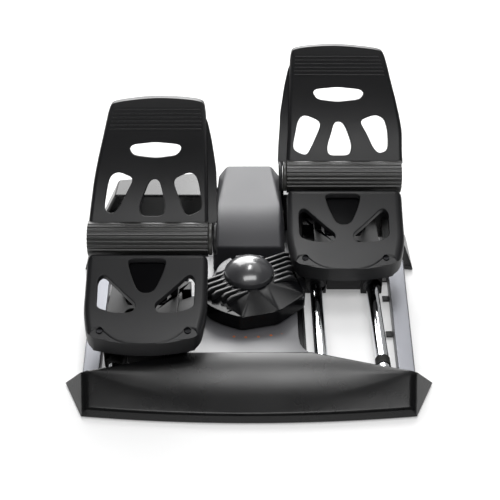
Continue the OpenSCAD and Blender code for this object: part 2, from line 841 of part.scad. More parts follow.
module bracket(s) {
    edge = rail_gap / 2 + house_w / 2;
    house_top = house_z + house_h;
    slot_half = pin_d / 2 + roller_t + slot_play;
    pin_shift = arm_r - pedal_x;
    plate_top = top_z + top_t;
    color(black_plastic) at_side(s) difference() {
        union() {
            block(-edge, edge - inner_cut, -car_front, car_rear, top_z, plate_top);
            block(edge - inner_cut - cut, edge, -car_front, -leg_y, top_z, plate_top);
            block(edge - inner_cut - cut, edge, leg_y, car_rear, top_z, plate_top);
            block(-edge, leg_w - edge, -car_front, car_rear, house_top, top_z + cut);
            block(edge - leg_w, edge, -car_front, -leg_y, house_top, top_z + cut);
            block(edge - leg_w, edge, leg_y, car_rear, house_top, top_z + cut);
            block(house_w / 2 + seat - rail_gap / 2, rail_gap / 2 - house_w / 2 - seat, -car_front,
                front_plate_t - car_front, front_plate_z, top_z + cut);
            block(-heel_screw_x, heel_screw_x, -car_front - front_plate_t, -car_front + front_plate_t,
                top_z + gap / 2, heel_head_z - 2 * face_t / 3 - gap);
            for (k = [-1, 1]) translate([k * heel_screw_x, heel_screw_y, top_z + gap])
                cylinder(r = heel_boss_r, h = heel_head_z - 2 * face_t / 3 - top_z - 2 * gap);
            for (k = [-1, 1]) translate([k * (cheek_in + cheek_t / 2), hinge_y, 0])
                along_x(-cheek_t / 2, cheek_t / 2) {
                    polygon([[-cheek_foot, plate_top - cut], [cheek_toe, plate_top - cut],
                        [cheek_r - gap, hinge_z], [-cheek_waist, hinge_z - cheek_r / 2]]);
                    translate([0, hinge_z]) circle(r = cheek_r);
                }
            block(-cheek_in - cut, cheek_in + cut, hinge_y + bar_t / 2, hinge_y + cheek_r - gap,
                hinge_z - leg_down - seat - bar_t, hinge_z - leg_down - seat);
        }
        translate([0, hinge_y, hinge_z]) rod_x(hinge_d / 2 + press, -axle_half, axle_half);
        block(-pin_shift, 0, -slot_half, slot_half, top_z - cut, plate_top + cut);
        translate([0, 0, top_z - cut]) cylinder(r = slot_half, h = top_t + 2 * cut);
        translate([-pin_shift, 0, top_z - cut]) cylinder(r = slot_half, h = top_t + 2 * cut);
        for (k = [-1, 1]) translate([k * heel_screw_x, heel_screw_y, top_z])
            cylinder(r = heel_shank_r + press, h = spine_h);
    }
}

// Plan of the heel plate, shrunk by t
module heel_plan(t) {
    w = pedal_w / 2;
    side = [for (i = [0 : len(heel_nips) - 1]) [w - t - heel_nips[i], heel_end[0] - heel_falls[i]]];
    corner = [w - t - heel_corner, heel_corner_l - heel_front + t / 2];
    front = [for (i = [1 - heel_bow_steps : heel_bow_steps - 1])
        let (k = -i / heel_bow_steps) [(w - t - heel_corner) * k, t - heel_front + heel_bow * k * k]];
    right = concat(side, [corner]);
    polygon(concat(right, front, reversed(half_turned(right))));
}

// Side outline of the heel plate between two depths below its face
module heel_side(d0, d1, front, foot) {
    polygon(concat(arc_points(heel_start, heel_end, heel_sag, d0, heel_steps),
        reversed(arc_points(heel_start, heel_end, heel_sag, d1, heel_steps)),
        [[front + 2 * side_wall, foot], [front, foot], [front, heel_start[1] - d0]]));
}

heel_centre_shares = [[-0.29, 0.42], [0.29, 0.42], [0.04, -0.13], [-0.04, -0.13]];
heel_side_shares = [[-0.79, 0.08], [-0.7, 0.14], [-0.13, -0.35], [-0.21, -0.47], [-0.55, -0.45],
    [-0.79, -0.33]];
function scaled(shares, kx, ky) = [for (p = shares) [p[0] * kx, p[1] * ky]];

module heel_windows() {
    w = pedal_w / 2;
    polygon(rounded(scaled(heel_centre_shares, w, heel_front), face_t));
    polygon(rounded(scaled(heel_side_shares, w, heel_front), face_t / 2));
    polygon(rounded(half_turned(scaled(heel_side_shares, w, heel_front)), face_t / 2));
}

module heel_plate(s) {
    w = pedal_w / 2;
    color(charcoal) at_side(s) difference() {
        intersection() {
            along_x(-w - cut, w + cut) heel_side(0, heel_depth, -heel_front, rim_z);
            linear_extrude(toe_top) heel_plan(0);
        }
        intersection() {
            along_x(-w, w) heel_side(face_t, heel_depth + cut, side_wall - heel_front, rim_z - cut);
            linear_extrude(toe_top) heel_plan(side_wall);
        }
        linear_extrude(toe_top) heel_windows();
        for (k = [-1, 1]) translate([k * heel_screw_x, heel_screw_y, 0]) {
            cylinder(r = heel_shank_r + seat, h = toe_top);
            translate([0, 0, heel_head_z]) cylinder(r = heel_hole_r, h = toe_top);
        }
    }
}

module heel_screws(s) {
    color("#1c1c1e") at_side(s) for (k = [-1, 1]) translate([k * heel_screw_x, heel_screw_y, 0]) {
        translate([0, 0, heel_head_z + press]) cylinder(r = heel_hole_r - seat, h = heel_shank_r);
        translate([0, 0, top_z + 2 * gap])
            cylinder(r = heel_shank_r, h = heel_head_z - top_z - 2 * gap + cut);
    }
}

module hinge_axle(s) {
    color(steel) at_side(s) translate([0, hinge_y, hinge_z]) rod_x(hinge_d / 2, -axle_half, axle_half);
}

module ring_x(r_out, r_in, x0, x1) {
    difference() {
        rod_x(r_out, x0, x1);
        rod_x(r_in, x0 - cut, x1 + cut);
    }
}

module axle_rings(s) {
    x = lug_in + lug_t + seat;
    color(steel) at_side(s) translate([0, hinge_y, hinge_z]) {
        ring_x(toe_bush_r, hinge_d / 2 + press, x, x + ring_t);
        ring_x(toe_bush_r, hinge_d / 2 + press, -x - ring_t, -x);
    }
}

module brake_sensor(s) {
    x = cheek_in + cheek_t + press;
    color(dark_grey) at_side(s) translate([0, hinge_y, hinge_z]) difference() {
        union() {
            rod_x(sensor_r, x, x + sensor_w);
            block(x, x + sensor_w, -sensor_r / 2, sensor_r / 2, -sensor_r - sensor_w, 0);
        }
        rod_x(hinge_d / 2 + fit, x - cut, x + sensor_w + cut);
    }
}

function coil_points() = concat(
    [[-spring_half, spring_r, -leg_down], [-spring_half, spring_r, -leg_down + 2 * spring_wire]],
    [for (i = [0 : spring_curls * curl_rings])
        let (a = 360 * i / curl_rings, k = i / (spring_curls * curl_rings))
        [(2 * k - 1) * spring_half, spring_r * cos(a), spring_r * sin(a)]],
    [[spring_half, spring_r, leg_up - 2 * spring_wire], [spring_half, spring_r, leg_up]]);

// Least distance between ring centres at least half a curl apart, less one wire
function coil_gap(p) = min([for (i = [0 : len(p) - 1]) for (j = [i + curl_rings / 2 + 1 : 1 : len(p) - 1])
    norm(p[i] - p[j])]) - spring_wire;

module toe_spring(s) {
    echo(toe_spring_gap = coil_gap(coil_points()));
    color(steel) at_side(s) translate([0, hinge_y, hinge_z]) tube(coil_points(), spring_wire / 2);
}

// Front outline of the toe pad above the band, as shares of half the width and of the pad's height
toe_outline_shares = [[1, -0.18], [1, 0], [0.97, 0.9], [0.9, 0.97], [0.19, 1], [-0.52, 0.955], [-0.615, 0.91],
    [-0.75, 0.64], [-0.84, 0.47], [-0.92, 0.29], [-0.95, 0.18], [-1, 0], [-1, -0.18]];
inset_outline_shares = [[0.94, -0.3], [0.94, 0], [0.91, 0.89], [0.85, 0.935], [0.19, 0.965], [-0.48, 0.925],
    [-0.56, 0.88], [-0.69, 0.63], [-0.78, 0.46], [-0.86, 0.28], [-0.89, 0.17], [-0.94, 0], [-0.94, -0.3]];
flank_shares = [[0.93, 0], [1.156, 0], [1.13, 0.37], [1.06, 0.6], [1.015, 0.79], [0.97, 0.92], [0.93, 0.92]];
upper_side_shares = [[-0.5, 0.36], [-0.25, 0.3], [-0.5, 0.11], [-0.6, 0.075], [-0.735, 0.11], [-0.68, 0.25],
    [-0.63, 0.33]];
upper_mid_shares = [[0.04, 0.32], [0.17, 0.32], [0.28, 0.12], [0.25, 0.07], [-0.12, 0.07], [-0.14, 0.12]];
upper_inner_shares = [[0.42, 0.3], [0.68, 0.38], [0.8, 0.33], [0.88, 0.12], [0.82, 0.1], [0.6, 0.075],
    [0.56, 0.12]];
slot_shares = [[-1, 0], [-0.72, 0.5], [0.72, 0.5], [1, 0], [0.72, -0.5], [-0.72, -0.5]];
slot_x_share = 0.125;
slot_z_share = 0.53;

function toe_map(shares) = [for (p = shares)
    [p[0] * pedal_w / 2, toe_start[1] + p[1] * (toe_top - toe_start[1])]];

module toe_windows() {
    polygon(rounded(toe_map(upper_side_shares), face_t / 2));
    polygon(rounded(toe_map(upper_mid_shares), face_t / 2));
    polygon(rounded(toe_map(upper_inner_shares), face_t / 2));
    translate([slot_x_share * pedal_w / 2, toe_start[1] + slot_z_share * (toe_top - toe_start[1])])
        polygon(rounded([for (p = slot_shares) [p[0] * slot_w / 2, p[1] * slot_h]], face_t));
}

module toe_side(d0, d1) {
    polygon(concat(arc_points(toe_start, toe_end, toe_sag, d0, toe_steps),
        reversed(arc_points(toe_start, toe_end, toe_sag, d1, toe_steps, toe_taper_share))));
}

// Part of the YZ plane round the hinge between two angles
module band_wedge() {
    r = 2 * band_r;
    polygon(concat([[0, 0]], [for (i = [0 : band_steps])
        let (a = band_from + (band_to - band_from) * i / band_steps) r * [cos(a), sin(a)]]));
}

module toe_pad(s) {
    w = pedal_w / 2;
    ribs = arc_points(toe_start, toe_end, toe_sag, 0, rib_samples);
    color(charcoal) at_side(s) difference() {
        union() {
            difference() {
                intersection() {
                    along_x(-w - cut, w + cut) toe_side(0, toe_depth);
                    along_y(0, rear_reach) polygon(toe_map(toe_outline_shares));
                }
                intersection() {
                    along_x(-w, w) toe_side(face_t, toe_depth + cut);
                    along_y(0, rear_reach) polygon(toe_map(inset_outline_shares));
                }
                along_y(0, rear_reach) toe_windows();
            }
            intersection() {
                along_x(0, 2 * w) toe_side(flank_off, flank_off + flank_depth);
                along_y(0, rear_reach) polygon(toe_map(flank_shares));
            }
            intersection() {
                for (i = [0 : rib_count - 1])
                    let (p = ribs[round(rib_samples * (rib_from_share + i * rib_step_share))])
                        translate([0, p[0], p[1]]) rod_x(rib_r, -w, w);
                along_y(0, rear_reach) polygon(toe_map(inset_outline_shares));
            }
            translate([0, hinge_y, hinge_z]) along_x(-w, w) intersection() {
                difference() {
                    circle(r = band_r);
                    circle(r = band_r - band_t);
                }
                band_wedge();
            }
            for (k = [-1, 1]) translate([k * (lug_in + lug_t / 2), hinge_y, hinge_z])
                rod_x(lug_r, -lug_t / 2, lug_t / 2);
        }
        translate([0, hinge_y, hinge_z]) {
            rod_x(toe_bush_r + press, -w, w);
            for (i = [0 : groove_count - 1]) rotate([groove_first + i * groove_pitch, 0, 0])
                translate([0, band_r + groove_r / 3, 0]) rod_x(groove_r, -w - cut, w + cut);
        }
    }
}

module toe_bushes(s) {
    color(pale_pom) at_side(s) translate([0, hinge_y, hinge_z]) {
        ring_x(toe_bush_r, hinge_d / 2 + fit, lug_in, lug_in + lug_t);
        ring_x(toe_bush_r, hinge_d / 2 + fit, -lug_in - lug_t, -lug_in);
    }
}

front_bar();
front_plate();
rear_bar();
rear_wing(-1);  // rear_wing_left
rear_wing(1);  // rear_wing_right
rear_plate();
centre_tray();
centre_deck();
spine_cover();
side_panel(-1);  // side_panel_left
side_panel(1);  // side_panel_right
rail(-outer_x, rail_outer_start);  // rail_left_outer
rail(-inner_x, rail_inner_start);  // rail_left_inner
rail(inner_x, rail_inner_start);  // rail_right_inner
rail(outer_x, rail_outer_start);  // rail_right_outer
front_saddles();
rear_sockets();
rubber_feet();
base_screws();
front_buffers();
rear_buffers();
rotor_bush();
rudder_sensor();
control_board();
cable_gland();
friction_washer();
rotor_arm();
rotor_cover();
collar_ring();
dome_cap();
rotor_axle();
rotor_nut();
rotor_pins();
rotor_rollers();
carriage(-1);  // carriage_left
slide_bushes(-1);  // slide_bushes_left
bracket(-1);  // bracket_left
heel_plate(-1);  // heel_plate_left
heel_screws(-1);  // heel_screws_left
hinge_axle(-1);  // hinge_axle_left
axle_rings(-1);  // axle_rings_left
brake_sensor(-1);  // brake_sensor_left
toe_spring(-1);  // toe_spring_left
toe_pad(-1);  // toe_pad_left
toe_bushes(-1);  // toe_bushes_left
carriage(1);  // carriage_right
slide_bushes(1);  // slide_bushes_right
bracket(1);  // bracket_right
heel_plate(1);  // heel_plate_right
heel_screws(1);  // heel_screws_right
hinge_axle(1);  // hinge_axle_right
axle_rings(1);  // axle_rings_right
brake_sensor(1);  // brake_sensor_right
toe_spring(1);  // toe_spring_right
toe_pad(1);  // toe_pad_right
toe_bushes(1);  // toe_bushes_right
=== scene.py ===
import json
import math

import bmesh
import bpy
from mathutils import Matrix, Vector


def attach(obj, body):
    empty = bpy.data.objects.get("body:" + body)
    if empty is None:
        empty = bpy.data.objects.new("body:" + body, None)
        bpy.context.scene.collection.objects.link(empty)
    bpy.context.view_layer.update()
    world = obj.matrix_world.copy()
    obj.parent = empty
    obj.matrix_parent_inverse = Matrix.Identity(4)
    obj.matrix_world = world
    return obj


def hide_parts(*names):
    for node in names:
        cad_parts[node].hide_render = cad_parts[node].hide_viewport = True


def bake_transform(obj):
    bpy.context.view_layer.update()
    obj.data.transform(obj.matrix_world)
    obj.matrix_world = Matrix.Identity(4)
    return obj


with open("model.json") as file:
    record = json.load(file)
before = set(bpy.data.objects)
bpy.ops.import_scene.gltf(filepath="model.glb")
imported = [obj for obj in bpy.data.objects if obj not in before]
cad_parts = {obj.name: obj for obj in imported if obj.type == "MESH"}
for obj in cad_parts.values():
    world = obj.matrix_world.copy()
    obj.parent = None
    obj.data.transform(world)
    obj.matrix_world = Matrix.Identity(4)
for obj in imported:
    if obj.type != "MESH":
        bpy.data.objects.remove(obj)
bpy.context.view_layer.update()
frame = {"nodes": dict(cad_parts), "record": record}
mm = 0.001
alongX, alongY = (0, math.pi / 2, 0), (math.pi / 2, 0, 0)


# Small helpers

def deselectAll():
    if bpy.context.object and bpy.context.object.mode != "OBJECT":
        bpy.ops.object.mode_set(mode="OBJECT")
    bpy.ops.object.select_all(action="DESELECT")


def pick(piece):
    deselectAll()
    piece.hide_set(False)
    piece.select_set(True)
    bpy.context.view_layer.objects.active = piece


def editAll(piece):
    pick(piece)
    bpy.ops.object.mode_set(mode="EDIT")
    bpy.ops.mesh.select_all(action="SELECT")


def leaveEdit():
    bpy.ops.object.mode_set(mode="OBJECT")


def clearChoice(piece, kind):
    pick(piece)
    bpy.ops.object.mode_set(mode="EDIT")
    bpy.ops.mesh.select_mode(type=kind)
    bpy.ops.mesh.select_all(action="DESELECT")
    leaveEdit()


def selectFaces(piece, wanted):
    # wanted gets a face's centre and normal
    clearChoice(piece, "FACE")
    for face in piece.data.polygons:
        face.select = bool(wanted(face.center, face.normal))
    bpy.ops.object.mode_set(mode="EDIT")


def applyModifier(piece, modifier):
    pick(piece)
    bpy.ops.object.modifier_apply(modifier=modifier.name)


def outlineBlock(name, corners, place, push):
    # a filled circle whose points are put on the outline, then extruded
    deselectAll()
    bpy.ops.mesh.primitive_circle_add(vertices=len(corners), radius=mm, fill_type="NGON")
    block = bpy.context.object
    block.name = name
    for point, corner in zip(block.data.vertices, corners):
        point.co = place(*corner)
    editAll(block)
    bpy.ops.mesh.extrude_region_move(TRANSFORM_OT_translate={"value": push})
    bpy.ops.mesh.select_all(action="SELECT")
    bpy.ops.mesh.normals_make_consistent(inside=False)
    leaveEdit()
    return block


def sideBlock(name, corners, end, start=None):
    # outline in y and z, pulled along x, to both sides unless a start is given
    start = -end if start is None else start
    return outlineBlock(name, corners, lambda y, z: (start * mm, y * mm, z * mm), ((end - start) * mm, 0, 0))


def frontBlock(name, corners, yStart, yEnd):
    # outline in x and z, pulled along y
    return outlineBlock(name, corners, lambda x, z: (x * mm, yStart * mm, z * mm), (0, (yEnd - yStart) * mm, 0))


def planBlock(name, corners, zStart, zEnd):
    # outline in x and y, pulled up
    return outlineBlock(name, corners, lambda x, y: (x * mm, y * mm, zStart * mm), (0, 0, (zEnd - zStart) * mm))


def rod(name, radius, length, place, turn=(0, 0, 0), points=48):
    deselectAll()
    bpy.ops.mesh.primitive_cylinder_add(vertices=points, radius=radius * mm, depth=length * mm,
                                        location=[v * mm for v in place], rotation=turn)
    bpy.ops.object.transform_apply(location=True, rotation=True, scale=True)
    made = bpy.context.object
    made.name = name
    return made


def spunRing(name, section, axisPoint, axis, steps=64):
    # a closed section of radius and height, spun round an axis
    deselectAll()
    bpy.ops.mesh.primitive_circle_add(vertices=len(section), radius=mm)
    made = bpy.context.object
    made.name = name
    for point, (radius, height) in zip(made.data.vertices, section):
        point.co = (radius * mm, 0, height * mm)
    editAll(made)
    bpy.ops.mesh.spin(steps=steps, angle=math.tau, center=(0, 0, 0), axis=(0, 0, 1))
    bpy.ops.mesh.select_all(action="SELECT")
    bpy.ops.mesh.remove_doubles(threshold=0.01 * mm)
    bpy.ops.mesh.normals_make_consistent(inside=False)
    leaveEdit()
    turn = Vector((0, 0, 1)).rotation_difference(Vector(axis)).to_matrix().to_4x4()
    made.data.transform(Matrix.Translation([v * mm for v in axisPoint]) @ turn)
    return made


def joinTool(piece, tool, how):
    cut = piece.modifiers.new("join", "BOOLEAN")
    cut.operation = how
    cut.solver = "MANIFOLD"
    cut.object = tool
    applyModifier(piece, cut)
    bpy.data.objects.remove(tool)


def cutAway(piece, tool):
    joinTool(piece, tool, "DIFFERENCE")


def cleanFlats(piece, merge=0.02, angle=0.6):
    editAll(piece)
    bpy.ops.mesh.remove_doubles(threshold=merge * mm)
    bpy.ops.mesh.dissolve_limited(angle_limit=math.radians(angle))
    leaveEdit()


def evenNormals(piece):
    weights = piece.modifiers.new("normals", "WEIGHTED_NORMAL")
    weights.keep_sharp = True
    applyModifier(piece, weights)


def smooth(piece, angle=38):
    pick(piece)
    bpy.ops.object.shade_smooth_by_angle(angle=math.radians(angle))
    evenNormals(piece)


def roundEdges(piece, width, segments=3, angle=32, smoothAngle=38):
    bevel = piece.modifiers.new("edges", "BEVEL")
    bevel.width = width * mm
    bevel.segments = segments
    bevel.limit_method = "ANGLE"
    bevel.angle_limit = math.radians(angle)
    bevel.use_clamp_overlap = False
    bevel.miter_outer = "MITER_ARC"
    applyModifier(piece, bevel)
    smooth(piece, smoothAngle)


def finishedCopy(name, node, width, segments=2, angle=32, merge=0.02):
    # the CAD node's own form with its loose triangles merged and its edges broken
    source = frame["nodes"][node]
    made = bpy.data.objects.new(name, source.data.copy())
    bpy.context.scene.collection.objects.link(made)
    made.data.materials.clear()
    editAll(made)
    bpy.ops.mesh.remove_doubles(threshold=merge * mm)
    if made.data.has_custom_normals:
        bpy.ops.mesh.customdata_custom_splitnormals_clear()
    bpy.ops.mesh.dissolve_limited(angle_limit=math.radians(0.5))
    leaveEdit()
    if width > 0:
        roundEdges(made, width, segments, angle)
    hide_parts(node)
    return made


def twinOf(piece, name):
    # the right pedal's piece is the left one's mirror image, one stroke farther back
    made = piece.copy()
    made.data = piece.data.copy()
    made.name = name
    bpy.context.scene.collection.objects.link(made)
    made.data.transform(Matrix.Translation((0, pedals["stroke"] * mm, 0)) @ Matrix.Scale(-1, 4, (1, 0, 0)))
    made.data.flip_normals()
    pick(made)
    if made.data.has_custom_normals:
        bpy.ops.mesh.customdata_custom_splitnormals_clear()
        evenNormals(made)
    return made


def roundedCorners(points, radius, steps=6, share=0.45):
    made = []
    for i, (vx, vy) in enumerate(points):
        (ux, uy), (wx, wy) = points[i - 1], points[(i + 1) % len(points)]
        lu, lw = math.hypot(ux - vx, uy - vy), math.hypot(wx - vx, wy - vy)
        ru, rw = min(radius, lu * share), min(radius, lw * share)
        ax, ay = vx + (ux - vx) / lu * ru, vy + (uy - vy) / lu * ru
        bx, by = vx + (wx - vx) / lw * rw, vy + (wy - vy) / lw * rw
        for k in range(steps + 1):
            t = k / steps
            made.append(((1 - t) ** 2 * ax + 2 * t * (1 - t) * vx + t * t * bx,
                         (1 - t) ** 2 * ay + 2 * t * (1 - t) * vy + t * t * by))
    return made


def mirroredX(points):
    return [(-x, y) for x, y in reversed(points)]


# Materials

def toLinear(hexColour):
    channels = [int(hexColour[i:i + 2], 16) / 255 for i in (1, 3, 5)]
    return [c / 12.92 if c <= 0.04045 else ((c + 0.055) / 1.055) ** 2.4 for c in channels] + [1.0]


def addNode(tree, kind, settings=None, sockets=None, links=None):
    made = tree.nodes.new(kind)
    for key, value in (settings or {}).items():
        setattr(made, key, value)
    for key, value in (sockets or {}).items():
        made.inputs[key].default_value = value
    for key, source in (links or {}).items():
        tree.links.new(source, made.inputs[key])
    return made


def larger(tree, first, second):
    return addNode(tree, "ShaderNodeMath", {"operation": "MAXIMUM"}, links={0: first, 1: second}).outputs[0]


def newMaterial(name):
    made = bpy.data.materials.new(name)
    made.use_nodes = True
    made.node_tree.nodes.clear()
    return made, made.node_tree


def noise(tree, place, size, detail):
    made = addNode(tree, "ShaderNodeTexNoise", sockets={"Scale": 1 / (size * mm), "Detail": detail},
                   links={"Vector": place})
    return made.outputs["Fac"]


def coverSurface(tree, colours, shade, relief, rough, bump, depth, sockets):
    # shade moves the tone and the gloss, relief raises the surface
    tone = addNode(tree, "ShaderNodeMix", {"data_type": "RGBA"},
                   {6: toLinear(colours[0]), 7: toLinear(colours[1])}, {0: shade})
    gloss = addNode(tree, "ShaderNodeMapRange", sockets={"To Min": rough[0], "To Max": rough[1]},
                    links={"Value": shade})
    raised = addNode(tree, "ShaderNodeBump", sockets={"Strength": bump, "Distance": depth * mm},
                     links={"Height": relief})
    shader = addNode(tree, "ShaderNodeBsdfPrincipled", sockets=sockets,
                     links={"Base Color": tone.outputs[2], "Roughness": gloss.outputs["Result"],
                            "Normal": raised.outputs["Normal"]})
    output = tree.nodes.new("ShaderNodeOutputMaterial")
    tree.links.new(shader.outputs["BSDF"], output.inputs["Surface"])


def mouldedPlastic(name, dark, light, rough, grainMm=0.6, bump=0.12, specular=0.5, coat=0.0, coatRough=0.1,
                   metallic=0.0):
    # injection-moulded ABS or nylon: fine spark-eroded grain, faint cloudy tone, gloss that varies a little
    made, tree = newMaterial(name)
    place = addNode(tree, "ShaderNodeTexCoord").outputs["Object"]
    coverSurface(tree, (dark, light), noise(tree, place, 45, 3.0), noise(tree, place, grainMm, 2.0),
                 (rough - 0.05, rough + 0.05), bump, 0.05,
                 {"Specular IOR Level": specular, "Coat Weight": coat, "Coat Roughness": coatRough,
                  "Metallic": metallic})
    return made


def barMetal(name, dark, light, rough, stretch, lineMm=0.5, bump=0.05):
    # ground, drawn or turned metal: fine lines along the way it was worked
    made, tree = newMaterial(name)
    place = addNode(tree, "ShaderNodeTexCoord").outputs["Object"]
    along = addNode(tree, "ShaderNodeMapping", sockets={"Scale": stretch}, links={"Vector": place})
    lines = noise(tree, along.outputs["Vector"], lineMm, 2.0)
    coverSurface(tree, (dark, light), lines, lines, (rough * 0.8, rough * 1.2), bump, 0.03, {"Metallic": 1.0})
    return made


finishes = {
    # glass-filled nylon, moulded with a fine matt grain: soft charcoal that lifts to grey where light grazes it
    "pedal_nylon": mouldedPlastic("mouldedNylon", "#151517", "#19191b", 0.42, specular=0.42),
    # ABS with a satin mould finish
    "charcoal_abs": mouldedPlastic("satinAbs", "#0a0a0b", "#0c0c0d", 0.28, bump=0.02, specular=0.42),
    "black_abs": mouldedPlastic("texturedAbs", "#0d0d0f", "#111113", 0.5, bump=0.2, specular=0.35),
    # painted ABS
    "spine_silver": mouldedPlastic("paintedAbs", "#313134", "#37373b", 0.5, bump=0.05, specular=0.65,
                                   metallic=0.15),
    # high-gloss ABS dome
    "dome_gloss": mouldedPlastic("polishedAbs", "#3c3c3e", "#404043", 0.3, bump=0.02, specular=1.0, coat=1.0,
                                 coatRough=0.08),
    # turned acetal, dyed black, with a waxy gloss
    "pom": mouldedPlastic("turnedAcetal", "#1a1a1c", "#222224", 0.38, grainMm=1.2, bump=0.05),
    "rubber": mouldedPlastic("mouldedRubber", "#121212", "#181818", 0.72, grainMm=1.0, bump=0.25, specular=0.3),
    "board": mouldedPlastic("solderMask", "#154d2b", "#1b5c34", 0.3, grainMm=2.0, bump=0.05),
    # extruded and anodised: fine lines along the bar
    "side_aluminium": barMetal("anodisedAluminium", "#626367", "#6c6d71", 0.42, (1.0, 0.02, 1.0), lineMm=0.7),
    # hard-chromed and polished
    "rail_steel": barMetal("chromedSteel", "#d8dadd", "#e6e8ea", 0.07, (1.0, 0.05, 1.0), lineMm=0.8, bump=0.01),
    # polished black ABS hood, smooth enough to mirror the room
    "gloss_black": mouldedPlastic("polishedBlackAbs", "#08080a", "#0b0b0d", 0.2, bump=0.01, specular=0.12),
    "fin_grey": mouldedPlastic("satinGreyAbs", "#1c1c1e", "#222224", 0.34, bump=0.04, specular=0.6),
    "collar_grey": mouldedPlastic("satinDarkAbs", "#404043", "#47474a", 0.4, bump=0.05, specular=0.6),
    # deck ABS given a lighter grey than the covers: painted reflection, standing in for the lamps' sheen on the
    # same black plastic
    "deck_grey": mouldedPlastic("deckAbsPaintedSheen", "#5a5a5d", "#606063", 0.32, bump=0.05, specular=0.9),
    # ribbed tread with a slightly warm tone and more gloss than the faces
    "band_nylon": mouldedPlastic("ribbedNylon", "#171716", "#1c1c1a", 0.34, specular=0.8),
    "band_end": mouldedPlastic("smoothNylon", "#30302e", "#363634", 0.32, bump=0.03, specular=0.6),
    # marks printed on the deck
    "orange_ink": mouldedPlastic("orangeInk", "#b5622a", "#c06a30", 0.45, bump=0.02),
    # blackened screws, sunk in the heel plates
    "black_screw": barMetal("blackenedSteel", "#1b1b1d", "#232325", 0.45, (1.0, 1.0, 1.0), lineMm=0.4),
    # bright zinc plate on turned steel
    "zinc_steel": barMetal("zincSteel", "#9a9da1", "#b4b7ba", 0.32, (1.0, 1.0, 1.0), lineMm=0.4),
}


def paint(piece, material):
    piece.data.materials.clear()
    piece.data.materials.append(material)


def dress(piece, material, body):
    paint(piece, material)
    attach(piece, body)


slotOf = {row["node"]: row["material_slot"] for row in frame["record"]["subparts"]}
for nodeName, nodeObject in frame["nodes"].items():
    paint(nodeObject, finishes[slotOf[nodeName]])
print("materials made")


# Camera, lamps, floor and background

camera = {"place": (0, -0.9705, 0.783), "pitch": 36.0, "lens": 79.2, "shiftX": 0.002}
bpy.ops.object.camera_add(location=camera["place"], rotation=(math.radians(90 - camera["pitch"]), 0, 0))
photoCamera = bpy.context.object
photoCamera.data.sensor_width = 36
photoCamera.data.lens = camera["lens"]
photoCamera.data.shift_x = camera["shiftX"]
photoCamera.data.clip_start = 0.05
bpy.context.scene.camera = photoCamera
bpy.context.scene.view_settings.view_transform = "Standard"

lamps = {
    "backSoftbox": {"place": (-0.2, 1.5, 1.0), "aim": (0, 0, 0.05), "size": (1.6, 1.5), "power": 42},
    "barSoftbox": {"place": (0.06, 0.36, 1.5), "aim": (0, -0.15, 0.02), "size": (0.24, 0.5), "power": 5},
    "deckSoftbox": {"place": (0.03, 1.1, 0.95), "aim": (0, -0.1, 0.03), "size": (0.26, 0.4), "power": 3.6},
    "upperSoftbox": {"place": (0.7, 0.45, 1.45), "aim": (0, 0, 0.02), "size": (1.0, 0.7), "power": 1.2},
    "frontSoftbox": {"place": (0.1, -0.8, 1.42), "aim": (0, 0, 0.1), "size": (1.4, 0.45), "power": 10},
}
for lampName, lamp in lamps.items():
    aim = Vector(lamp["aim"]) - Vector(lamp["place"])
    bpy.ops.object.light_add(type="AREA", location=lamp["place"],
                             rotation=aim.to_track_quat("-Z", "Y").to_euler())
    made = bpy.context.object
    made.name = lampName
    made.data.shape = "RECTANGLE"
    made.data.size, made.data.size_y = lamp["size"]
    made.data.energy = lamp["power"]

# what glossy faces mirror is bright on one side of the sky, between two shares of facing it
backdrop = {"floor": "#dedede", "floorLift": 0.25, "dark": 0.08, "bright": 0.68, "diffuse": 0.25,
            "toward": (0.05, 0.9, 0.43), "from": 0.55, "to": 0.97}
deselectAll()
bpy.ops.mesh.primitive_plane_add(size=40, location=(0, 0, 0))
floor = bpy.context.object
floor.name = "studioFloor"
floorPaper, floorTree = newMaterial("whitePaper")
rays = addNode(floorTree, "ShaderNodeLightPath").outputs
seen = larger(floorTree, rays["Is Camera Ray"], rays["Is Glossy Ray"])
seen = larger(floorTree, seen, rays["Is Transmission Ray"])
lift = addNode(floorTree, "ShaderNodeMath", {"operation": "MULTIPLY"}, {1: backdrop["floorLift"]}, {0: seen})
paper = addNode(floorTree, "ShaderNodeBsdfDiffuse", sockets={"Color": toLinear(backdrop["floor"])})
glow = addNode(floorTree, "ShaderNodeEmission", links={"Strength": lift.outputs[0]})
both = addNode(floorTree, "ShaderNodeAddShader", links={0: paper.outputs[0], 1: glow.outputs[0]})
floorOut = floorTree.nodes.new("ShaderNodeOutputMaterial")
floorTree.links.new(both.outputs[0], floorOut.inputs["Surface"])
floor.data.materials.append(floorPaper)

world = bpy.context.scene.world or bpy.data.worlds.new("studio")
bpy.context.scene.world = world
world.use_nodes = True
skyTree = world.node_tree
skyTree.nodes.clear()
skyRays = addNode(skyTree, "ShaderNodeLightPath").outputs
skyPlace = addNode(skyTree, "ShaderNodeTexCoord")
skyFacing = addNode(skyTree, "ShaderNodeVectorMath", {"operation": "DOT_PRODUCT"}, {1: backdrop["toward"]},
                    {0: skyPlace.outputs["Generated"]})
skyTone = addNode(skyTree, "ShaderNodeMapRange",
                  sockets={"From Min": backdrop["from"], "From Max": backdrop["to"],
                           "To Min": backdrop["dark"], "To Max": backdrop["bright"]},
                  links={"Value": skyFacing.outputs["Value"]})
skySeen = larger(skyTree, skyRays["Is Glossy Ray"], skyRays["Is Transmission Ray"])
skyLit = addNode(skyTree, "ShaderNodeMapRange", sockets={"To Min": backdrop["diffuse"]},
                 links={"Value": skySeen, "To Max": skyTone.outputs["Result"]})
skyPower = addNode(skyTree, "ShaderNodeMapRange", sockets={"To Max": 1.0},
                   links={"Value": skyRays["Is Camera Ray"], "To Min": skyLit.outputs["Result"]})
skyGlow = addNode(skyTree, "ShaderNodeBackground", links={"Strength": skyPower.outputs["Result"]})
